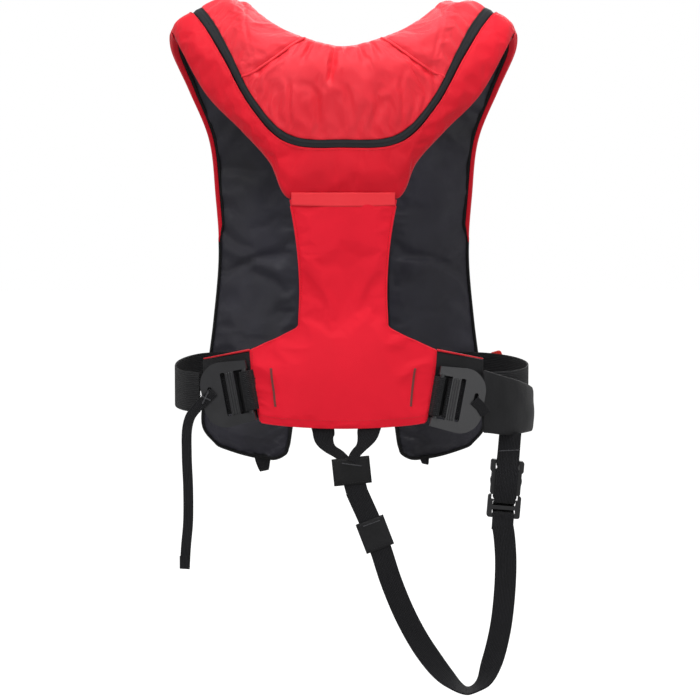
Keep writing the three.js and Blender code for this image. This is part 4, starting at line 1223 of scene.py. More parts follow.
        middle = self.form.section((a + b) / 2)
        bm = mapped_grid(24, along, place, outwards=-middle.out)
        piece = new_piece(name, bm, finish)
        ClothSettle(slack=0.02, pressure=1.0, reach=3 * MM).settle(piece, grid_rim(piece))
        thicken(piece, 4.5 * MM, 1)
        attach(piece, "jacket")
        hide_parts(node)

    def _hem(self, side: str, sign: int) -> None:
        """The band's hem, turned onto the body side along a lobe's upper part.

        Args:
            side: right or left.
            sign: 1 on the right, -1 on the left.
        """

        def place(a: float, t: float) -> Vector:
            """Point of the hem, from the edge inwards."""
            s = sign * lerp(station(5.7), station(10.8), t)
            here = self.form.section(s)
            wide = self.form.hem_width(s) * self.form.hem_share(lerp(s, sign * 0.6, 0.03))
            q = here.width + 2.2 * MM - (wide + 2.2 * MM) * a
            return here.at(q, lerp(3.4, -1.6, smoothstep(a, 0, 0.35)) * MM - 0.8 * MM * math.sin(math.pi * a))

        middle = self.form.section(sign * station(8.5))
        piece = new_piece(f"turned_hem_{side}", mapped_grid(10, 120, place, outwards=-middle.out), Finish.RED)
        thicken(piece, 1.2 * MM, 1)
        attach(piece, "jacket")

    def _binding(self, side: str, sign: int) -> None:
        """Folded tape round the edges of a lobe, in one run round its end.

        Args:
            side: right or left.
            sign: 1 on the right, -1 on the left.
        """
        outer_s = [sign * s for s in steps(station(6.1), 0.999, 170)]
        outer = [self.form.section(s) for s in outer_s]
        inner = [self.form.section(sign * s) for s in steps(0.999, station(5.9), 180)]
        path = []
        for s, f in zip(outer_s, outer):
            inset = self.form.hem_share(s)
            path.append(f.at(f.width - inset * (self.form.hem_width(s) + 2 * MM), lerp(3.2, 0.4, inset) * MM))
        corner = [outer[-1].at(outer[-1].width * x, 3.2 * MM) - Vector((0, 0, 0.6 * MM))
                  for x in (0.94, 0.86, 0.74, 0.62, 0.5, 0.38, 0.27, 0.18, 0.11, 0.05)]
        path += corner + [f.at(-0.2 * MM, 3.2 * MM) for f in inner]
        path = SmoothCurve(path).even(420)
        frames = [*outer, *([outer[-1]] * len(corner)), *inner]

        def flat(i: int, ahead: Vector) -> Vector:
            """Thickness direction of the yoke near a point of the path."""
            return frames[min(len(frames) - 1, round(i / 420 * (len(frames) - 1)))].out

        def section(t: float) -> tuple[float, float]:
            """Half the tape's width and thickness, slimmer where it lies beside the hem."""
            wide = smoothstep(t, 0.2, 0.24)
            return lerp(2.2, 4.4, wide) * MM, lerp(2.0, 2.4, wide) * MM

        piece = swept(f"lobe_binding_{side}", path, section, flat, Finish.BINDING, 10)
        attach(piece, "jacket")

    def _welt(self, name: str, sign: int, seam: Callable[[float], float], lift: float,
              finish: Finish) -> None:
        """Narrow welt over a seam of the cover.

        Args:
            name: piece name.
            sign: 1 on the right, -1 on the left.
            seam: the seam's station for a share across the cover.
            lift: height off the cloth.
            finish: what covers it.
        """

        def out(i: int, ahead: Vector) -> Vector:
            """Width direction, along the cloth."""
            return self.form.section(sign * seam(i / 60)).out.cross(ahead)

        path = [self.form.cover_point(sign * seam(x), x, lift * math.sin(math.pi * min(1, x * 1.05)) ** 0.5)
                for x in steps(0.03, 0.99, 60)]
        piece = swept(name, path, lambda t: (1.7 * MM, 0.9 * MM), out, finish, 8)
        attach(piece, "jacket")

    def _end_tab(self, side: str, sign: int) -> None:
        """Small folded tab that hangs under a lobe.

        Args:
            side: right or left.
            sign: 1 on the right, -1 on the left.
        """
        here = self.form.section(sign * 0.998)
        top = here.at(here.width * 0.34, 4 * MM)
        drop, wide = (17.5, 25) if sign < 0 else (9, 15)
        path = SmoothCurve([top + Vector((dx * MM, dy * MM, dz * drop * MM)) for dx, dy, dz in (
            (0, -1, 0.35), (0, -2.5, -0.25), (1, -3, -0.75), (1.5, 0.4, -0.98), (1, 3.4, -0.75),
            (0, 3, -0.25), (0, 1.6, 0.35))]).even(34)

        def gathered(t: float) -> float:
            """Width of the tab, narrower where it folds."""
            return wide * MM * lerp(0.45, 1, abs(2 * t - 1) ** 0.9)

        piece = strip(f"lobe_tab_{side}", path, gathered, 1.2 * MM,
                      lambda i, ahead: Vector((1, 0, -0.2 * sign)), Finish.STRAP)
        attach(piece, "jacket")

    def _zip(self) -> None:
        """The zip tape from one lobe's end to the other's, and its moving pieces."""
        end = self.ZIP_END
        bm = mapped_grid(10, 560, lambda x, t: self.form.zip_point(lerp(-end, end, t), x))
        face_away(bm, lambda at: Vector((at.x * 0.6, at.y, 0.02)))
        piece = new_piece("zip_run", bm, Finish.ZIP)
        thicken(piece, 1.3 * MM)
        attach(piece, "jacket")
        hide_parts("zip")
        for side, _ in SIDES:
            hard_copy(f"zip_slider_{side}", Finish.DARK_PLASTIC, 0.4 * MM)
            hard_copy(f"zip_pull_{side}", Finish.PLASTIC, 0.4 * MM)

    def _topstitching(self) -> None:
        """Stitches along the band's side of the zip."""
        end = self.ZIP_END
        sew = Stitching()
        back = self.dart(1.0)
        runs = (("left", -self.CHEST_END, -back), ("middle", -back, back), ("right", back, self.CHEST_END))
        for name, s0, s1 in runs:
            path = [self.form.band_point(s, 0.05, 0.15 * MM) for s in steps(s0, s1, 90)]
            path = on_cloth(self.bands["yoke_band"], path, 0.3 * MM)
            sew.sew(f"zip_stitches_{name}", path, Finish.RED_THREAD)
        for side, sign in SIDES:
            path = [self.form.band_point(sign * s, 0.05, 0.15 * MM) for s in steps(self.BAND_END, end, 60)]
            sew.sew(f"zip_stitches_lower_{side}", on_cloth(self.bands[f"side_strip_{side}"], path, 0.3 * MM),
                    Finish.BLACK_THREAD)

    def _bladder(self) -> None:
        """The folded bladder that fills the room inside, seen only when the cover is open."""
        end = station(11.1)

        def place(a: float, t: float) -> Vector:
            """Point on the closed, pleated tube."""
            s = lerp(-end, end, t)
            here = self.form.section(s)
            angle = a * math.tau
            u = lerp(0.2, 0.8, (1 - math.cos(angle)) / 2)
            floor = self.form.lining + 3.4 * MM
            roof = lerp(self.form.top, here.zip_h, u) + here.puff * u**0.6 * (1 - u) * 2.88 - 8.6 * MM
            roof = max(floor + 2.4 * MM, roof + 0.8 * MM * math.sin(u * 60))
            return here.at(u * here.zip_q, lerp(roof, floor, 0.5 - 0.5 * math.sin(angle)))

        bm = mapped_grid(28, 150, place)
        close_tube(bm)
        piece = new_piece("bladder_folded", bm, Finish.BLADDER)
        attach(piece, "jacket")
        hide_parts("bladder")


# ------------------------------------------------------------------ back panel
@dataclass
class BackPanel:
    """Red panel from the yoke seam to the lumbar pad, with its tape, wings and marks."""

    depth: float = 104 * MM
    flare_z: float = -336 * MM
    waist: float = 52 * MM
    lumbar_half: float = 112 * MM
    taper: float = 12 * MM
    top_z: float = -364 * MM
    bottom_z: float = -450.5 * MM
    sag: float = 5.5 * MM
    face: float = 8.8 * MM

    def back_y(self, x: float, z: float) -> float:
        """Body side of the back."""
        hollow = 8 * MM * math.exp(-(((z - self.flare_z - 40 * MM) / (70 * MM)) ** 2))
        return -self.depth + hollow + 1.2 * x * x

    def lumbar(self, z: float) -> float:
        """Half the lumbar panel's width at height z."""
        share = max(0.0, (self.top_z - z) / (self.top_z - self.bottom_z))
        return self.lumbar_half - self.taper * share**1.5

    def half(self, z: float) -> float:
        """Half the panel's width at height z."""
        if z < self.top_z:
            return self.lumbar(z)
        if z < self.flare_z:
            t = (self.flare_z - z) / (self.flare_z - self.top_z)
            return lerp(self.waist + 2 * MM, self.lumbar_half, t ** 1.12)
        return self.waist_line.at(self._share(z)).x

    def _share(self, z: float) -> float:
        """Share of the waist line at a height, found by halving."""
        low, high = 0.0, 1.0
        for _ in range(24):
            mid = (low + high) / 2
            if self.waist_line.at(mid).z > z:
                low = mid
            else:
                high = mid
        return low

    def __post_init__(self) -> None:
        """Lays the waist line."""
        edge = YokeForm().lines[2].at((1 + station(1)) / 2).x / MM
        self.waist_line = SmoothCurve([vec(x, 0, z) for x, z in (
            (edge, -186), (58.5, -215), (54, -250), (52, -294), (54, -336))])

    def point(self, share: float, t: float, off: float, inset: float = 0.0) -> Vector:
        """Point of the panel.

        Args:
            share: -1 at the left edge to 1 at the right edge.
            t: 0 at the yoke seam to 1 at the lower edge.
            off: distance off the body side.
            inset: kept clear of the edges.

        Returns:
            The point.
        """
        z = lerp(SEAM_Z - 0.3 * MM, self.bottom_z + inset, t)
        x = share * (self.half(z) - inset)
        drop = self.sag * smoothstep(t, 0.68, 1.0) * (1 - share * share)
        corner = 1.2 * MM * smoothstep(t, 0.93, 1) * abs(share) ** 14
        return Vector((x, self.back_y(x, z - drop) - off, z - drop + corner))

    def build(self) -> None:
        """Makes every piece of the back."""
        cloth = self._cloth()
        self._pad()
        self._tape()
        self._facings()
        self._stitches(cloth)
        for side, sign in SIDES:
            self._wing(side, sign)
        LOG.info("back panel, pad, tape and wings made")

    def _cloth(self) -> bpy.types.Object:
        """The red face.

        Returns:
            The cloth piece.
        """

        def place(a: float, t: float) -> Vector:
            """Point of the face with its slack."""
            share = a * 2 - 1
            flat = self.point(share, t, self.face)
            rim = (1 - abs(share) ** 6) * smoothstep(t, 0, 0.04) * (1 - smoothstep(t, 0.95, 1))
            lift = wander(flat, 0.07, 11) * 1.6 * MM + wander(flat, 0.025, 12) * 0.3 * MM
            pull = abs(share) * 0.055 - (flat.z + 0.31)
            lift += 1.4 * MM * bump_at(pull, 0, 0.016) * smoothstep(abs(share), 0.1, 0.5)
            roll = 1.6 * MM * (abs(share) ** 18)
            return self.point(share, t, self.face + lift * rim - roll)

        bm = mapped_grid(46, 110, place, outwards=Vector((0, -1, 0)))
        piece = new_piece("back_panel_cloth", bm, Finish.PANEL)
        ClothSettle(slack=0.01, pressure=0.6, reach=2 * MM).settle(piece, grid_rim(piece))
        thicken(piece, 2.4 * MM, 1)
        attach(piece, "jacket")
        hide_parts("back_panel")
        return piece

    def _pad(self) -> None:
        """Spacer mesh pad against the wearer, quilted in channels."""

        def place(a: float, t: float) -> Vector:
            """Point on the body side of the pad."""
            share = a * 2 - 1
            rim = (1 - abs(share) ** 5) * smoothstep(t, 0, 0.05) * (1 - smoothstep(t, 0.94, 1))
            channel = 0.6 + 0.4 * abs(math.sin(math.pi * t * 7))
            return self.point(share, t, 2.2 * MM - 2.6 * MM * rim * channel, 1.5 * MM)

        bm = mapped_grid(40, 110, place, outwards=Vector((0, 1, 0)))
        piece = new_piece("back_pad", bm, Finish.MESH)
        thicken(piece, 3.4 * MM, 1)
        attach(piece, "jacket")
        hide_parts("back_mesh_pad")

    def _tape(self) -> None:
        """Bonded tape over the seam between yoke and panel."""
        low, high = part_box("seam_tape")
        reach = high.x

        def place(a: float, t: float) -> Vector:
            """Point of the tape."""
            x = lerp(-reach, reach, a)
            z = lerp(high.z, low.z, t)
            off = lerp(self.face + 2.6 * MM, self.face + 1.0 * MM, t)
            bow = 1.6 * MM * math.cos(math.pi * (a - 0.5))
            return Vector((x, self.back_y(x, SEAM_Z) - off, z - bow * t))

        bm = mapped_grid(60, 8, place, outwards=Vector((0, -1, 0)))
        piece = new_piece("yoke_tape", bm, Finish.TAPE)
        thicken(piece, 0.8 * MM)
        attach(piece, "jacket")
        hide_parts("seam_tape")

    def _facings(self) -> None:
        """Narrow turned edges down both sides of the panel."""

        def fading(t: float) -> tuple[float, float]:
            """Half the facing's width and thickness, which run out downwards."""
            return 1.5 * MM * (1 - 0.6 * t**3), 1.3 * MM * (1 - 0.6 * t**3)

        for side, sign in SIDES:
            path = [self.point(sign, t, self.face - 1.0 * MM) + Vector((-sign * 1.2 * MM, 0, 0))
                    for t in steps(0.03, 0.56, 90)]
            piece = swept(f"panel_facing_{side}", path, fading, lambda i, ahead: Vector((1, 0, 0)),
                          Finish.PANEL, 8)
            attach(piece, "jacket")
        path = [self.point(share, 1, self.face - 1.2 * MM) + Vector((0, 0, 0.8 * MM))
                for share in steps(-0.97, 0.97, 90)]
        piece = swept("panel_hem", path, lambda t: (1.4 * MM, 1.5 * MM), lambda i, ahead: Vector((0, 0, 1)),
                      Finish.PANEL, 8)
        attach(piece, "jacket")

    def _stitches(self, cloth: bpy.types.Object) -> None:
        """Stitch lines and the two stitched slot marks of the lumbar panel, sewn on its cloth.

        Args:
            cloth: the piece that they are sewn on.
        """
        sew = Stitching(0.0032, 0.0024, 0.0003)
        hem = [self.point(share, 0.965, self.face + 0.25 * MM) for share in steps(-0.95, 0.95, 60)]
        sew.sew("hem_stitches", on_cloth(cloth, hem, 0.25 * MM), Finish.RED_THREAD)
        for side, sign in SIDES:
            edge = [self.point(sign * lerp(0.955, 0.97, t), t, self.face + 0.35 * MM)
                    for t in steps(0.06, 0.95, 90)]
            sew.sew(f"panel_stitches_{side}", on_cloth(cloth, edge, 0.25 * MM), Finish.RED_THREAD)
            top, low = Vector((sign * 85 * MM, 0, -386 * MM)), Vector((sign * 79.5 * MM, 0, -430 * MM))
            for p in (top, low):
                p.y = self.back_y(p.x, p.z) - self.face - 0.5 * MM
            mark = BarTack(4, 0.9 * MM, 0.5 * MM)
            mark.sew(f"slot_mark_{side}", top, low, Vector((0, -1, 0)), Finish.MARK_THREAD, cloth=cloth)

    def _wing(self, side: str, sign: int) -> None:
        """Black wing behind an adjuster, with red piping on its upper edge.

        Args:
            side: right or left.
            sign: 1 on the right, -1 on the left.
        """
        far = self.lumbar_half + 56 * MM

        def rim(t: float) -> tuple[float, float]:
            """Upper and lower edge of the wing."""
            return (lerp(self.top_z - 1 * MM, self.top_z - 13 * MM, t),
                    lerp(self.bottom_z + 4 * MM, self.bottom_z + 16 * MM, t))

        def place(a: float, t: float) -> Vector:
            """Point on the wing's outer face."""
            top, bottom = rim(a)
            z = lerp(top, bottom, t)
            x = lerp(self.lumbar(z) - 2 * MM, far, a)
            bulge = 1.4 * MM * math.sin(math.pi * t) + wander(Vector((x * sign, 0, z)), 0.03, 14) * 0.7 * MM
            return Vector((sign * x, self.back_y(x, -416 * MM) - 3.6 * MM - bulge, z))

        bm = mapped_grid(22, 30, place, outwards=Vector((0, -1, 0)))
        piece = new_piece(f"wing_cloth_{side}", bm, Finish.BLACK)
        thicken(piece, 3 * MM, 1)
        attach(piece, "jacket")
        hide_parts(f"lumbar_wing_{side}")
        pipe = [place(a, 0.0) + Vector((0, -0.6 * MM, 0.8 * MM)) for a in steps(0.02, 0.98, 40)]

        def thinning(t: float) -> tuple[float, float]:
            """Half the piping's width and thickness."""
            return 1.5 * MM * (1 - 0.5 * t), 1.5 * MM * (1 - 0.5 * t)

        cord = swept(f"wing_piping_{side}", pipe, thinning, lambda i, ahead: Vector((0, 0, 1)),
                     Finish.PIPING, 8)
        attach(cord, "jacket")


# ------------------------------------------------------------------ waist belt and adjusters
@dataclass(frozen=True)
class LocalFrame:
    """A piece's own axes, as its solid has them."""

    origin: Vector
    x: Vector
    y: Vector
    z: Vector

    def at(self, x: float, y: float, z: float) -> Vector:
        """World point of a local one, given in millimetres."""
        return self.origin + (self.x * x + self.y * y + self.z * z) * MM


ADJUSTER_FRAMES = {
    "right": LocalFrame(vec(112.5, -101.95, -419), Vector((0.94818, 0.25406, -0.19081)),
                        Vector((0.18431, 0.04939, 0.98163)), Vector((0.25882, -0.96593, 0))),
    "left": LocalFrame(vec(-113, -101.66, -412), Vector((-0.94818, 0.25406, -0.19081)),
                       Vector((-0.18431, 0.04939, 0.98163)), Vector((-0.25882, -0.96593, 0))),
}


@dataclass
class WaistBelt:
    """Belt halves, their adjusters, the pouch over the right hip and the front clip."""

    width: float = 48 * MM
    wall: float = 2.2 * MM
    reach: tuple[tuple[str, int, float], ...] = (("right", 1, 226.0), ("left", -1, 208.0))

    def line(self, sign: int, reach: float) -> list[Vector]:
        """Middle of one half, from its adjuster to the front.

        Args:
            sign: 1 on the right, -1 on the left.
            reach: half width of the waist in millimetres.

        Returns:
            Points from back to front.
        """

        def between(share: float) -> float:
            """Half width of the waist at a share."""
            return lerp(172, reach, share)

        plan = SmoothCurve([vec(x, y, 0) for x, y in (
            (172, -79), (between(0.5), -60), (between(0.86), -30), (reach, 8), (between(0.94), 46),
            (between(0.62), 84), (178, 108), (150, 113.2), (110, 110.4), (72, 107.6), (42, 106))])
        made = []
        for i, p in enumerate(plan.even(110)):
            z = lerp(-416, -404, smoothstep(i / 110, 0.05, 0.7)) * MM
            made.append(Vector((sign * p.x, p.y, z)))
        return made

    def build(self) -> None:
        """Makes every piece of the belt."""

        def upright(i: int, ahead: Vector) -> Vector:
            """Width direction of the belt."""
            return Vector((0, 0, 1))

        for side, sign, reach in self.reach:
            path = self.line(sign, reach)
            piece = strip(f"belt_{side}", path, self.width, self.wall, upright, Finish.WEBBING, 0.6 * MM)
            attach(piece, "jacket")
            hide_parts(f"waist_belt_{side}")
            self._adjuster(side)
        self._pouch()
        for name in ("front_socket", "front_plug", "front_arm_a", "front_arm_b"):
            hard_copy(name, Finish.DARK_PLASTIC, 0.6 * MM)
        front = LocalFrame(vec(7, 106, -404), Vector((0, 0, -1)), Vector((-1, 0, 0)), Vector((0, 1, 0)))
        ClipWebs(front, 47.5).socket("front_web_left_cloth", "front_web_left", 48.4, "jacket")
        ClipWebs(front, 47.5).plug("front_web_right_cloth", "front_web_right", -34.4, 6, -1, "jacket")
        LOG.info("waist belt made")

    def _adjuster(self, side: str) -> None:
        """One pull-up adjuster with its toothed bar and the webbing through it."""
        at = ADJUSTER_FRAMES[side].at
        up = ADJUSTER_FRAMES[side].y
        body = f"adjuster_{side}"
        hard_copy(body, Finish.PLASTIC, 0.9 * MM)
        for k, x in enumerate((15.6, 18.6, 21.6)):
            ridge = swept(f"adjuster_tooth_{side}_{k}", [at(x, y, 2.2) for y in steps(-25.5, 25.5, 24)],
                          lambda t: (0.95 * MM, 0.75 * MM), lambda i, ahead: ADJUSTER_FRAMES[side].x,
                          Finish.PLASTIC, 8)
            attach(ridge, body)
        thread = SmoothCurve([at(x, 0, z) for x, z in (
            (49, -6.9), (32, -6.4), (18, -6.2), (13.2, -5.6), (11.7, -3.6), (12.4, -1.2), (14.2, -3.0),
            (17, -3.4), (24, -3.5), (32, -3.5), (47, -3.3))], 0.5).even(70)
        web = strip(f"belt_thread_{side}_cloth", thread, 47.5 * MM, 1.8 * MM,
                    lambda i, ahead: up, Finish.WEBBING)
        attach(web, body)
        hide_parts(f"belt_thread_{side}")
        bend = 4.4
        arc = [at(bend * math.cos(math.radians(a)), 0, bend * math.sin(math.radians(a)))
               for a in steps(-100, 100, 8)]
        loop = SmoothCurve([at(-13, 0, -11), at(-8, 0, -10), at(-4.2, 0, -7.2), *arc, at(-4.6, 0, 1.6),
                            at(-5.4, 0, -3), at(-7.5, 0, -7.4), at(-13, 0, -9.2)], 0.5).even(60)
        anchor = strip(f"adjuster_anchor_{side}_cloth", loop, 47 * MM, 2 * MM,
                       lambda i, ahead: up, Finish.WEBBING)
        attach(anchor, "jacket")
        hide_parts(f"adjuster_anchor_{side}")

    def _pouch(self) -> None:
        """Fabric sleeve that keeps the slack of the belt, with a slanted mouth."""
        path = self.line(1, 226.0)
        run = tangents(path)
        first, last = -3, 24

        def place(a: float, t: float) -> Vector:
            """Point of the sleeve round the belt."""
            k = lerp(first, last, a)
            i = max(0, int(k))
            p = path[i] + (path[i + 1] - path[i]) * (k - i)
            out = Vector((run[i].y, -run[i].x, 0)).normalized()
            top = lerp(-388, -414, a) * MM
            bottom = lerp(-464, -468, smoothstep(a, 0, 0.4)) * MM
            angle = t * math.tau
            z = lerp(bottom, top, (1 + math.cos(angle)) / 2)
            full = smoothstep(a, 0.08, 0.3)
            thick = lerp(2.4, 5.6, full) * MM + 1.4 * MM * math.sin(math.pi * a)
            round_share = math.copysign(abs(math.sin(angle)) ** 0.45, math.sin(angle))
            off = lerp(3.2, 6.6, full) * MM + round_share * thick
            off += wander(Vector((p.x, p.y, z)), 0.02, 15) * 1.0 * MM
            return Vector((p.x, p.y, 0)) + out * off + Vector((0, 0, z))

        bm = mapped_grid(26, 48, place)
        close_tube(bm)
        piece = new_piece("pouch_cloth", bm, Finish.BLACK)
        smooth = piece.modifiers.new("softness", "SUBSURF")
        smooth.levels = smooth.render_levels = 1
        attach(piece, "jacket")
        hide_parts("strap_pouch")


@dataclass(frozen=True)
class ClipWebs:
    """Webbing through the two halves of a side-release clip."""

    frame: LocalFrame
    width: float

    def _lay(self, name: str, node: str, points: Sequence[tuple[float, float]], body: str) -> None:
        """Lays one folded strip of local (y, z) points."""
        path = SmoothCurve([self.frame.at(0, y, z) for y, z in points], 0.5).even(90)
        piece = strip(name, path, self.width * MM, 1.8 * MM, lambda i, ahead: self.frame.x, Finish.STRAP)
        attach(piece, body)
        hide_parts(node)

    def socket(self, name: str, node: str, tail: float, body: str) -> None:
        """Fold round the socket's end bar, with two tails up to y = tail."""
        straight = lerp(45.5, tail, 0.4)
        self._lay(name, node, (
            (tail, 1.5), (straight, 1.7), (45.5, 2.6), (42, 4.1), (39, 4.2), (36.4, 2.8), (35.7, 0),
            (36.4, -2.8), (39, -4.2), (42, -4.1), (45.5, -2.6), (straight, -1.7), (tail, -1.5)), body)

    def plug(self, name: str, node: str, foot: float, tail: float, face: int, body: str,
             lap: float = 0.0) -> None:
        """Thread through the plug's ladder from y = foot to a tail along one face.

        Args:
            name: piece name.
            node: the solid it stands for.
            foot: where it begins, in millimetres.
            tail: where it ends, in millimetres.
            face: 1 or -1, the side that the tail lies on.
            body: what it rides on.
            lap: how far the foot stands off, in millimetres.
        """
        off, low, high = 5.9, -20.5, -10.5
        points = ((foot, -off - lap), (foot + 6, -off - lap * 0.9), (foot + 12, -off),
                  (low - 1.7, -off + 0.7), (low, 0), (low + 1.6, off - 0.7), (-15.5, off + 0.7),
                  (high - 1.6, off - 0.7), (high, 0), (high + 0.7, -off + 1.1),
                  (high + 3.5, -off - 0.7), (tail, -off - 1.4))
        self._lay(name, node, [(y, -face * z) for y, z in points], body)


# ------------------------------------------------------------------ crotch harness
@dataclass
class CrotchHarness:
    """Two legs, their sleeves, the long strap and the clip under the right hip."""

    width: float = 26 * MM
    wall: float = 1.8 * MM
    route: Lay = (
        (15, -106, -529.5), (22.7, -104, -547), (30.4, -102.5, -564.5), (37.5, -102.5, -583),
        (44.6, -102.5, -601.5), (57, -100, -640), (76, -94, -686), (99, -88, -727), (125, -83, -760),
        (150, -79, -777), (168, -76, -768), (179, -73, -744), (189, -70.5, -704), (194, -69.5, -662),
        (195.5, -69, -620), (193.5, -68.4, -590), (191.6, -67.9, -577.5))
    turn_at: float = 9.2 / 16
    legs: tuple[tuple[str, Lay], ...] = (
        ("left", ((-27, -102, -447), (-23.5, -104, -459), (-22, -105.4, -470), (-15.5, -106, -480),
                  (-4, -106.2, -488), (4, -106.2, -496))),
        ("right", ((34, -104.5, -447), (30, -106, -459), (26.5, -107.2, -469), (21.5, -108, -478),
                   (14, -108.2, -487), (10, -108.2, -496))))
    pull_route: Lay = (
        (-154, -94.9, -414), (-165, -92, -424.6), (-174, -91, -433.5), (-181.5, -91, -443.5),
        (-185.5, -91.5, -458), (-186, -93, -490), (-184.5, -94, -530), (-184.8, -94, -570),
        (-187.5, -94, -600), (-189, -94, -626))
    short_pull: Lay = ((155.5, -94.6, -424), (163.5, -92.4, -432), (169.5, -91.6, -441))

    def build_cord(self) -> None:
        """Makes the long strap first, then the clip under the right hip and the webbing through its two
        halves.
        """
        curve = SmoothCurve([vec(*p) for p in self.route], 0.25)
        count = 260
        shares = steps(0, 1, count)
        path = [curve.at(t) for t in shares]

        def across(i: int, ahead: Vector) -> Vector:
            """Width direction: the strap turns on edge where it doubles back."""
            turn = math.radians(84) * math.exp(-(((shares[i] - self.turn_at) / 0.1) ** 2))
            flat = ahead.cross(Vector((0, 1, 0))).normalized()
            return flat * math.cos(turn) + Vector((0, math.sin(turn), 0))

        piece = strip("crotch_strap", path, self.width, self.wall, across, Finish.STRAP)
        for part in ("clip_plug", "clip_socket", "clip_arm_a", "clip_arm_b"):
            hard_copy(part, Finish.DARK_PLASTIC, 0.6 * MM)
        clip = LocalFrame(vec(194.5, -62, -541), Vector((0.99664, 0, -0.08194)),
                          Vector((0.08194, 0, 0.99664)), Vector((0, -1, 0)))
        webs = ClipWebs(clip, 26)
        webs.plug("crotch_thread", "crotch_strap_thread", -42, 76, 1, "clip_plug", lap=2.0)
        webs.socket("hip_strap_cloth", "hip_strap", 75, "jacket")
        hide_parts("crotch_strap_back", "crotch_strap_front")
        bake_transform(piece)
        length = sum((b - a).length for a, b in zip(path, path[1:]))
        every = path[::8]
        tuple(path[0])
        [tuple(p) for p in [*every, path[-1]]]

    def build_pull_strap(self) -> None:
        """Narrow strap that hangs from the left adjuster, and the short one of the right."""
        path = SmoothCurve([vec(*p) for p in self.pull_route]).even(110)
        piece = strip("pull_strap_long", path, 12 * MM, 1.2 * MM,
                      lambda i, ahead: ahead.cross(Vector((0, 1, 0))), Finish.STRAP, 0.3 * MM)
        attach(piece, "adjuster_left")
        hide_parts("pull_strap_left")
        length = sum((b - a).length for a, b in zip(path, path[1:]))
        short = SmoothCurve([vec(*p) for p in self.short_pull])
        piece = strip("pull_strap_short", short.even(20), 12 * MM, 1.2 * MM,
                      lambda i, ahead: ahead.cross(Vector((0, 1, 0))), Finish.STRAP, 0.3 * MM)
        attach(piece, "adjuster_right")
        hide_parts("pull_strap_right")
        cross = (((-160, -96.2, -414), (-167, -94.4, -428)), ((-170, -94.6, -418), (-158, -96.2, -424)))
        for k, (a, b) in enumerate(cross):
            BarTack(3, 0.8 * MM, 0.35 * MM).sew(f"pull_tack_{k}", vec(*a), vec(*b), Vector((0, -1, 0)),
                                                Finish.GREY_THREAD, "adjuster_left")
        end = path[-1]
        fold = [end + Vector((0, dy * MM, dz * MM)) for dy, dz in ((-1.3, 16), (-1.3, 8), (-1.3, 1))]
        hem = strip("pull_strap_hem", SmoothCurve(fold).even(12), 12 * MM, 1.1 * MM,
                    lambda i, ahead: Vector((1, 0, 0)), Finish.STRAP, 0.3 * MM)
        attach(hem, "adjuster_left")

    def build(self) -> None:
        """Makes the legs, sleeves and tacks."""
        for name, points in self.legs:
            path = SmoothCurve([vec(*p) for p in points]).even(40)

            def folded(t: float) -> float:
                """The leg folds along its length where it nears the sleeve."""
                return self.width * lerp(1.0, 0.46, smoothstep(t, 0.25, 0.7))

            piece = strip(f"crotch_leg_{name}_cloth", path, folded, self.wall * 1.4,
                          lambda i, ahead: ahead.cross(Vector((0, 1, 0))), Finish.STRAP)
            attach(piece, "jacket")
            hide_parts(f"crotch_leg_{name}")
        self._sleeve("upper", vec(10, -106.5, -507), 45, 32, 6)
        self._sleeve("lower", vec(37.5, -102.5, -583), 35, 37, 21)
        link = [vec(*p) for p in ((9, -106.3, -495), (12, -106, -515), (16, -105.8, -531))]
        piece = strip("sleeve_link", SmoothCurve(link).even(14), self.width, self.wall,
                      lambda i, ahead: ahead.cross(Vector((0, 1, 0))), Finish.STRAP)
        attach(piece, "jacket")
        tack = BarTack(2, 0.9 * MM, 0.4 * MM)
        for name, start, end, body in (
                ("upper", (-1, -110.3, -497.5), (21, -110.3, -500.5), "jacket"),
                ("lower", (24, -106.4, -573), (43, -106.4, -566), "jacket"),
                ("hip", (187.5, -71.6, -487), (210, -71.6, -486), "clip_plug"),
                ("strap", (188, -69.9, -628), (201, -69.9, -628), "clip_plug")):
            tack.sew(f"tack_{name}", vec(*start), vec(*end), Vector((0, -1, 0)), Finish.GREY_THREAD, body)
        LOG.info("crotch harness made")

    def _sleeve(self, which: str, centre: Vector, wide: float, high: float, turn: float) -> None:
        """A sewn sleeve: a flattened, rounded tube of cloth round the straps.

        Args:
            which: upper or lower.
            centre: its middle.
            wide: width in millimetres.
            high: height in millimetres.
            turn: lean in degrees.
        """
        lean = math.radians(turn)
        right = Vector((math.cos(lean), 0, math.sin(lean)))
        up = Vector((-math.sin(lean), 0, math.cos(lean)))

        def place(a: float, t: float) -> Vector:
            """Point of the sleeve."""
            angle = a * math.tau
            c, s = math.cos(angle), math.sin(angle)
            x = math.copysign(abs(c) ** 0.35, c) * wide / 2
            z = lerp(-high / 2, high / 2, t)
            pinch = 1 - 0.25 * abs(2 * t - 1) ** 8
            y = math.copysign(abs(s) ** 0.5, s) * 3.4 * pinch
            return centre + (right * x + up * z + Vector((0, y, 0))) * MM

        bm = mapped_grid(40, 22, place)
        close_tube(bm, capped=False)
        piece = new_piece(f"sleeve_{which}", bm, Finish.BLACK)
        thicken(piece, 0.9 * MM)
        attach(piece, "jacket")
        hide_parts(f"crotch_sleeve_{which}")
        sew = Stitching(0.003, 0.0022, 0.0003)
        for k, t in enumerate((0.08, 0.92)):
            row = [centre + (right * x + up * lerp(-high / 2, high / 2, t)) * MM + Vector((0, -3.45 * MM, 0))
                   for x in steps(-wide / 2 + 4, wide / 2 - 4, 10)]
            sew.sew(f"sleeve_stitches_{which}_{k}", row, Finish.BLACK_THREAD)


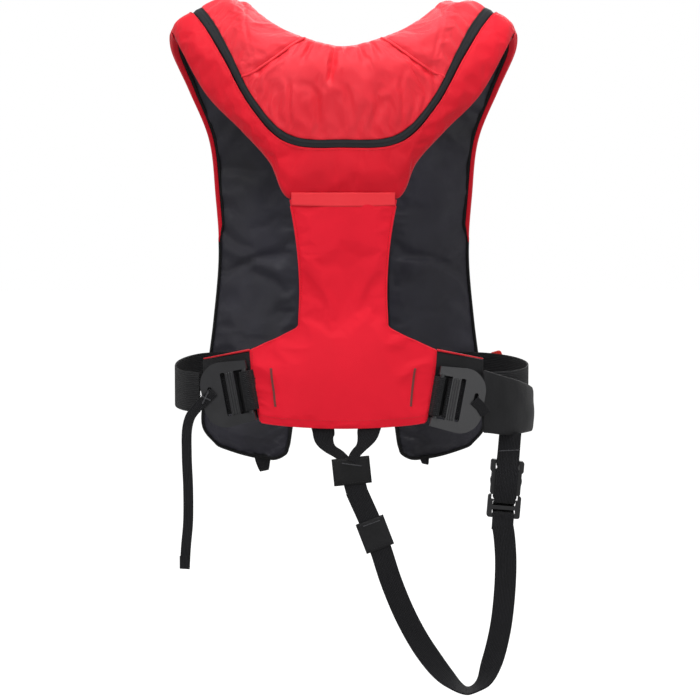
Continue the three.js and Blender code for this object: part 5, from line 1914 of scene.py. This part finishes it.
# ------------------------------------------------------------------ inflation gear
class InflationGear:
    """Inflator, gas cylinder, oral tube and whistle, inside the lobes, and the pull handle."""

    PIECES = (
        ("inflator_body", Finish.DARK_PLASTIC), ("inflator_cap", Finish.SIGNAL_YELLOW),
        ("gas_cylinder", Finish.STEEL), ("firing_lever", Finish.SIGNAL_RED),
        ("pull_handle", Finish.SIGNAL_RED), ("oral_tube", Finish.DARK_PLASTIC),
        ("oral_valve", Finish.SIGNAL_RED), ("oral_cap", Finish.SIGNAL_RED), ("whistle", Finish.SIGNAL_YELLOW))

    def build(self) -> None:
        """Makes bevelled copies of the moulded gear."""
        for node, finish in self.PIECES:
            hard_copy(node, finish, 0.5 * MM)
        LOG.info("inflation gear made")


# ------------------------------------------------------------------ studio
@dataclass
class Studio:
    """Flat pale floor, soft lights and the camera."""

    floor_z: float = -0.80
    eye: tuple[float, float, float] = (0.008, -2.6, -0.205)
    aim: tuple[float, float, float] = (0.008, -0.1, -0.364)
    lens: float = 109.0
    ambient: float = 0.52
    middle: tuple[float, float, float] = (0, 0, -0.25)
    lamps: tuple[tuple[str, tuple[float, float, float], float, float], ...] = (
        ("key", (-1.0, -1.9, 1.5), 1.1, 27), ("fill", (1.8, -2.0, -0.3), 1.6, 15),
        ("top", (0.1, -0.3, 1.7), 1.0, 26), ("front", (0.6, 2.4, 0.9), 1.4, 19))

    def build(self) -> None:
        """Makes the camera, the lights and the floor."""
        scene = bpy.context.scene
        data = bpy.data.cameras.new("camera")
        data.lens, data.sensor_width = self.lens, 36
        camera = bpy.data.objects.new("camera", data)
        camera.location = self.eye
        camera.rotation_euler = (Vector(self.aim) - Vector(self.eye)).to_track_quat("-Z", "Y").to_euler()
        scene.collection.objects.link(camera)
        scene.camera = camera
        scene.view_settings.view_transform = "Standard"
        world = bpy.data.worlds.new("studio")
        world.use_nodes = True
        tree = world.node_tree
        sky = tree.nodes["Background"]
        sky.inputs[0].default_value = (1, 1, 1, 1)
        path = tree.nodes.new("ShaderNodeLightPath")
        level = tree.nodes.new("ShaderNodeMapRange")
        level.inputs["To Min"].default_value, level.inputs["To Max"].default_value = self.ambient, 1.0
        tree.links.new(path.outputs["Is Camera Ray"], level.inputs["Value"])
        tree.links.new(level.outputs[0], sky.inputs[1])
        scene.world = world
        for name, place, size, power in self.lamps:
            light = bpy.data.lights.new(name, "AREA")
            light.size, light.energy = size, power
            lamp = bpy.data.objects.new(name, light)
            lamp.location = place
            lamp.rotation_euler = (Vector(self.middle) - Vector(place)).to_track_quat("-Z", "Y").to_euler()
            scene.collection.objects.link(lamp)
        self._floor()
        LOG.info("studio made")

    def _floor(self) -> None:
        """A flat pale floor."""
        bm = bmesh.new()
        bmesh.ops.create_grid(bm, x_segments=2, y_segments=2, size=14,
                              matrix=Matrix.Translation((0, 0, self.floor_z)))
        net = Net("pale_floor")
        mottle = net.noise(1.5, 2)
        pale = net.mix(mottle, (0.93, 0.93, 0.93), (0.96, 0.96, 0.96))
        material = net.surface(Base_Color=(0.3, 0.3, 0.3), Roughness=0.9, Specular_IOR_Level=0.0,
                               Emission_Color=pale, Emission_Strength=0.93)
        mesh = bpy.data.meshes.new("floor")
        bm.to_mesh(mesh)
        bm.free()
        floor = bpy.data.objects.new("floor", mesh)
        floor.data.materials.append(material)
        floor.visible_diffuse = floor.visible_glossy = False
        bpy.context.scene.collection.objects.link(floor)


def main() -> None:
    """Builds the studio, the cords and then the jacket from the inside out."""
    logging.basicConfig(level=logging.INFO, format="%(name)s: %(message)s")
    Studio().build()
    harness = CrotchHarness()
    harness.build_cord()
    harness.build_pull_strap()
    harness.build()
    YokeCloth(YokeForm()).build()
    BackPanel().build()
    WaistBelt().build()
    InflationGear().build()


if __name__ == "__main__":
    main()
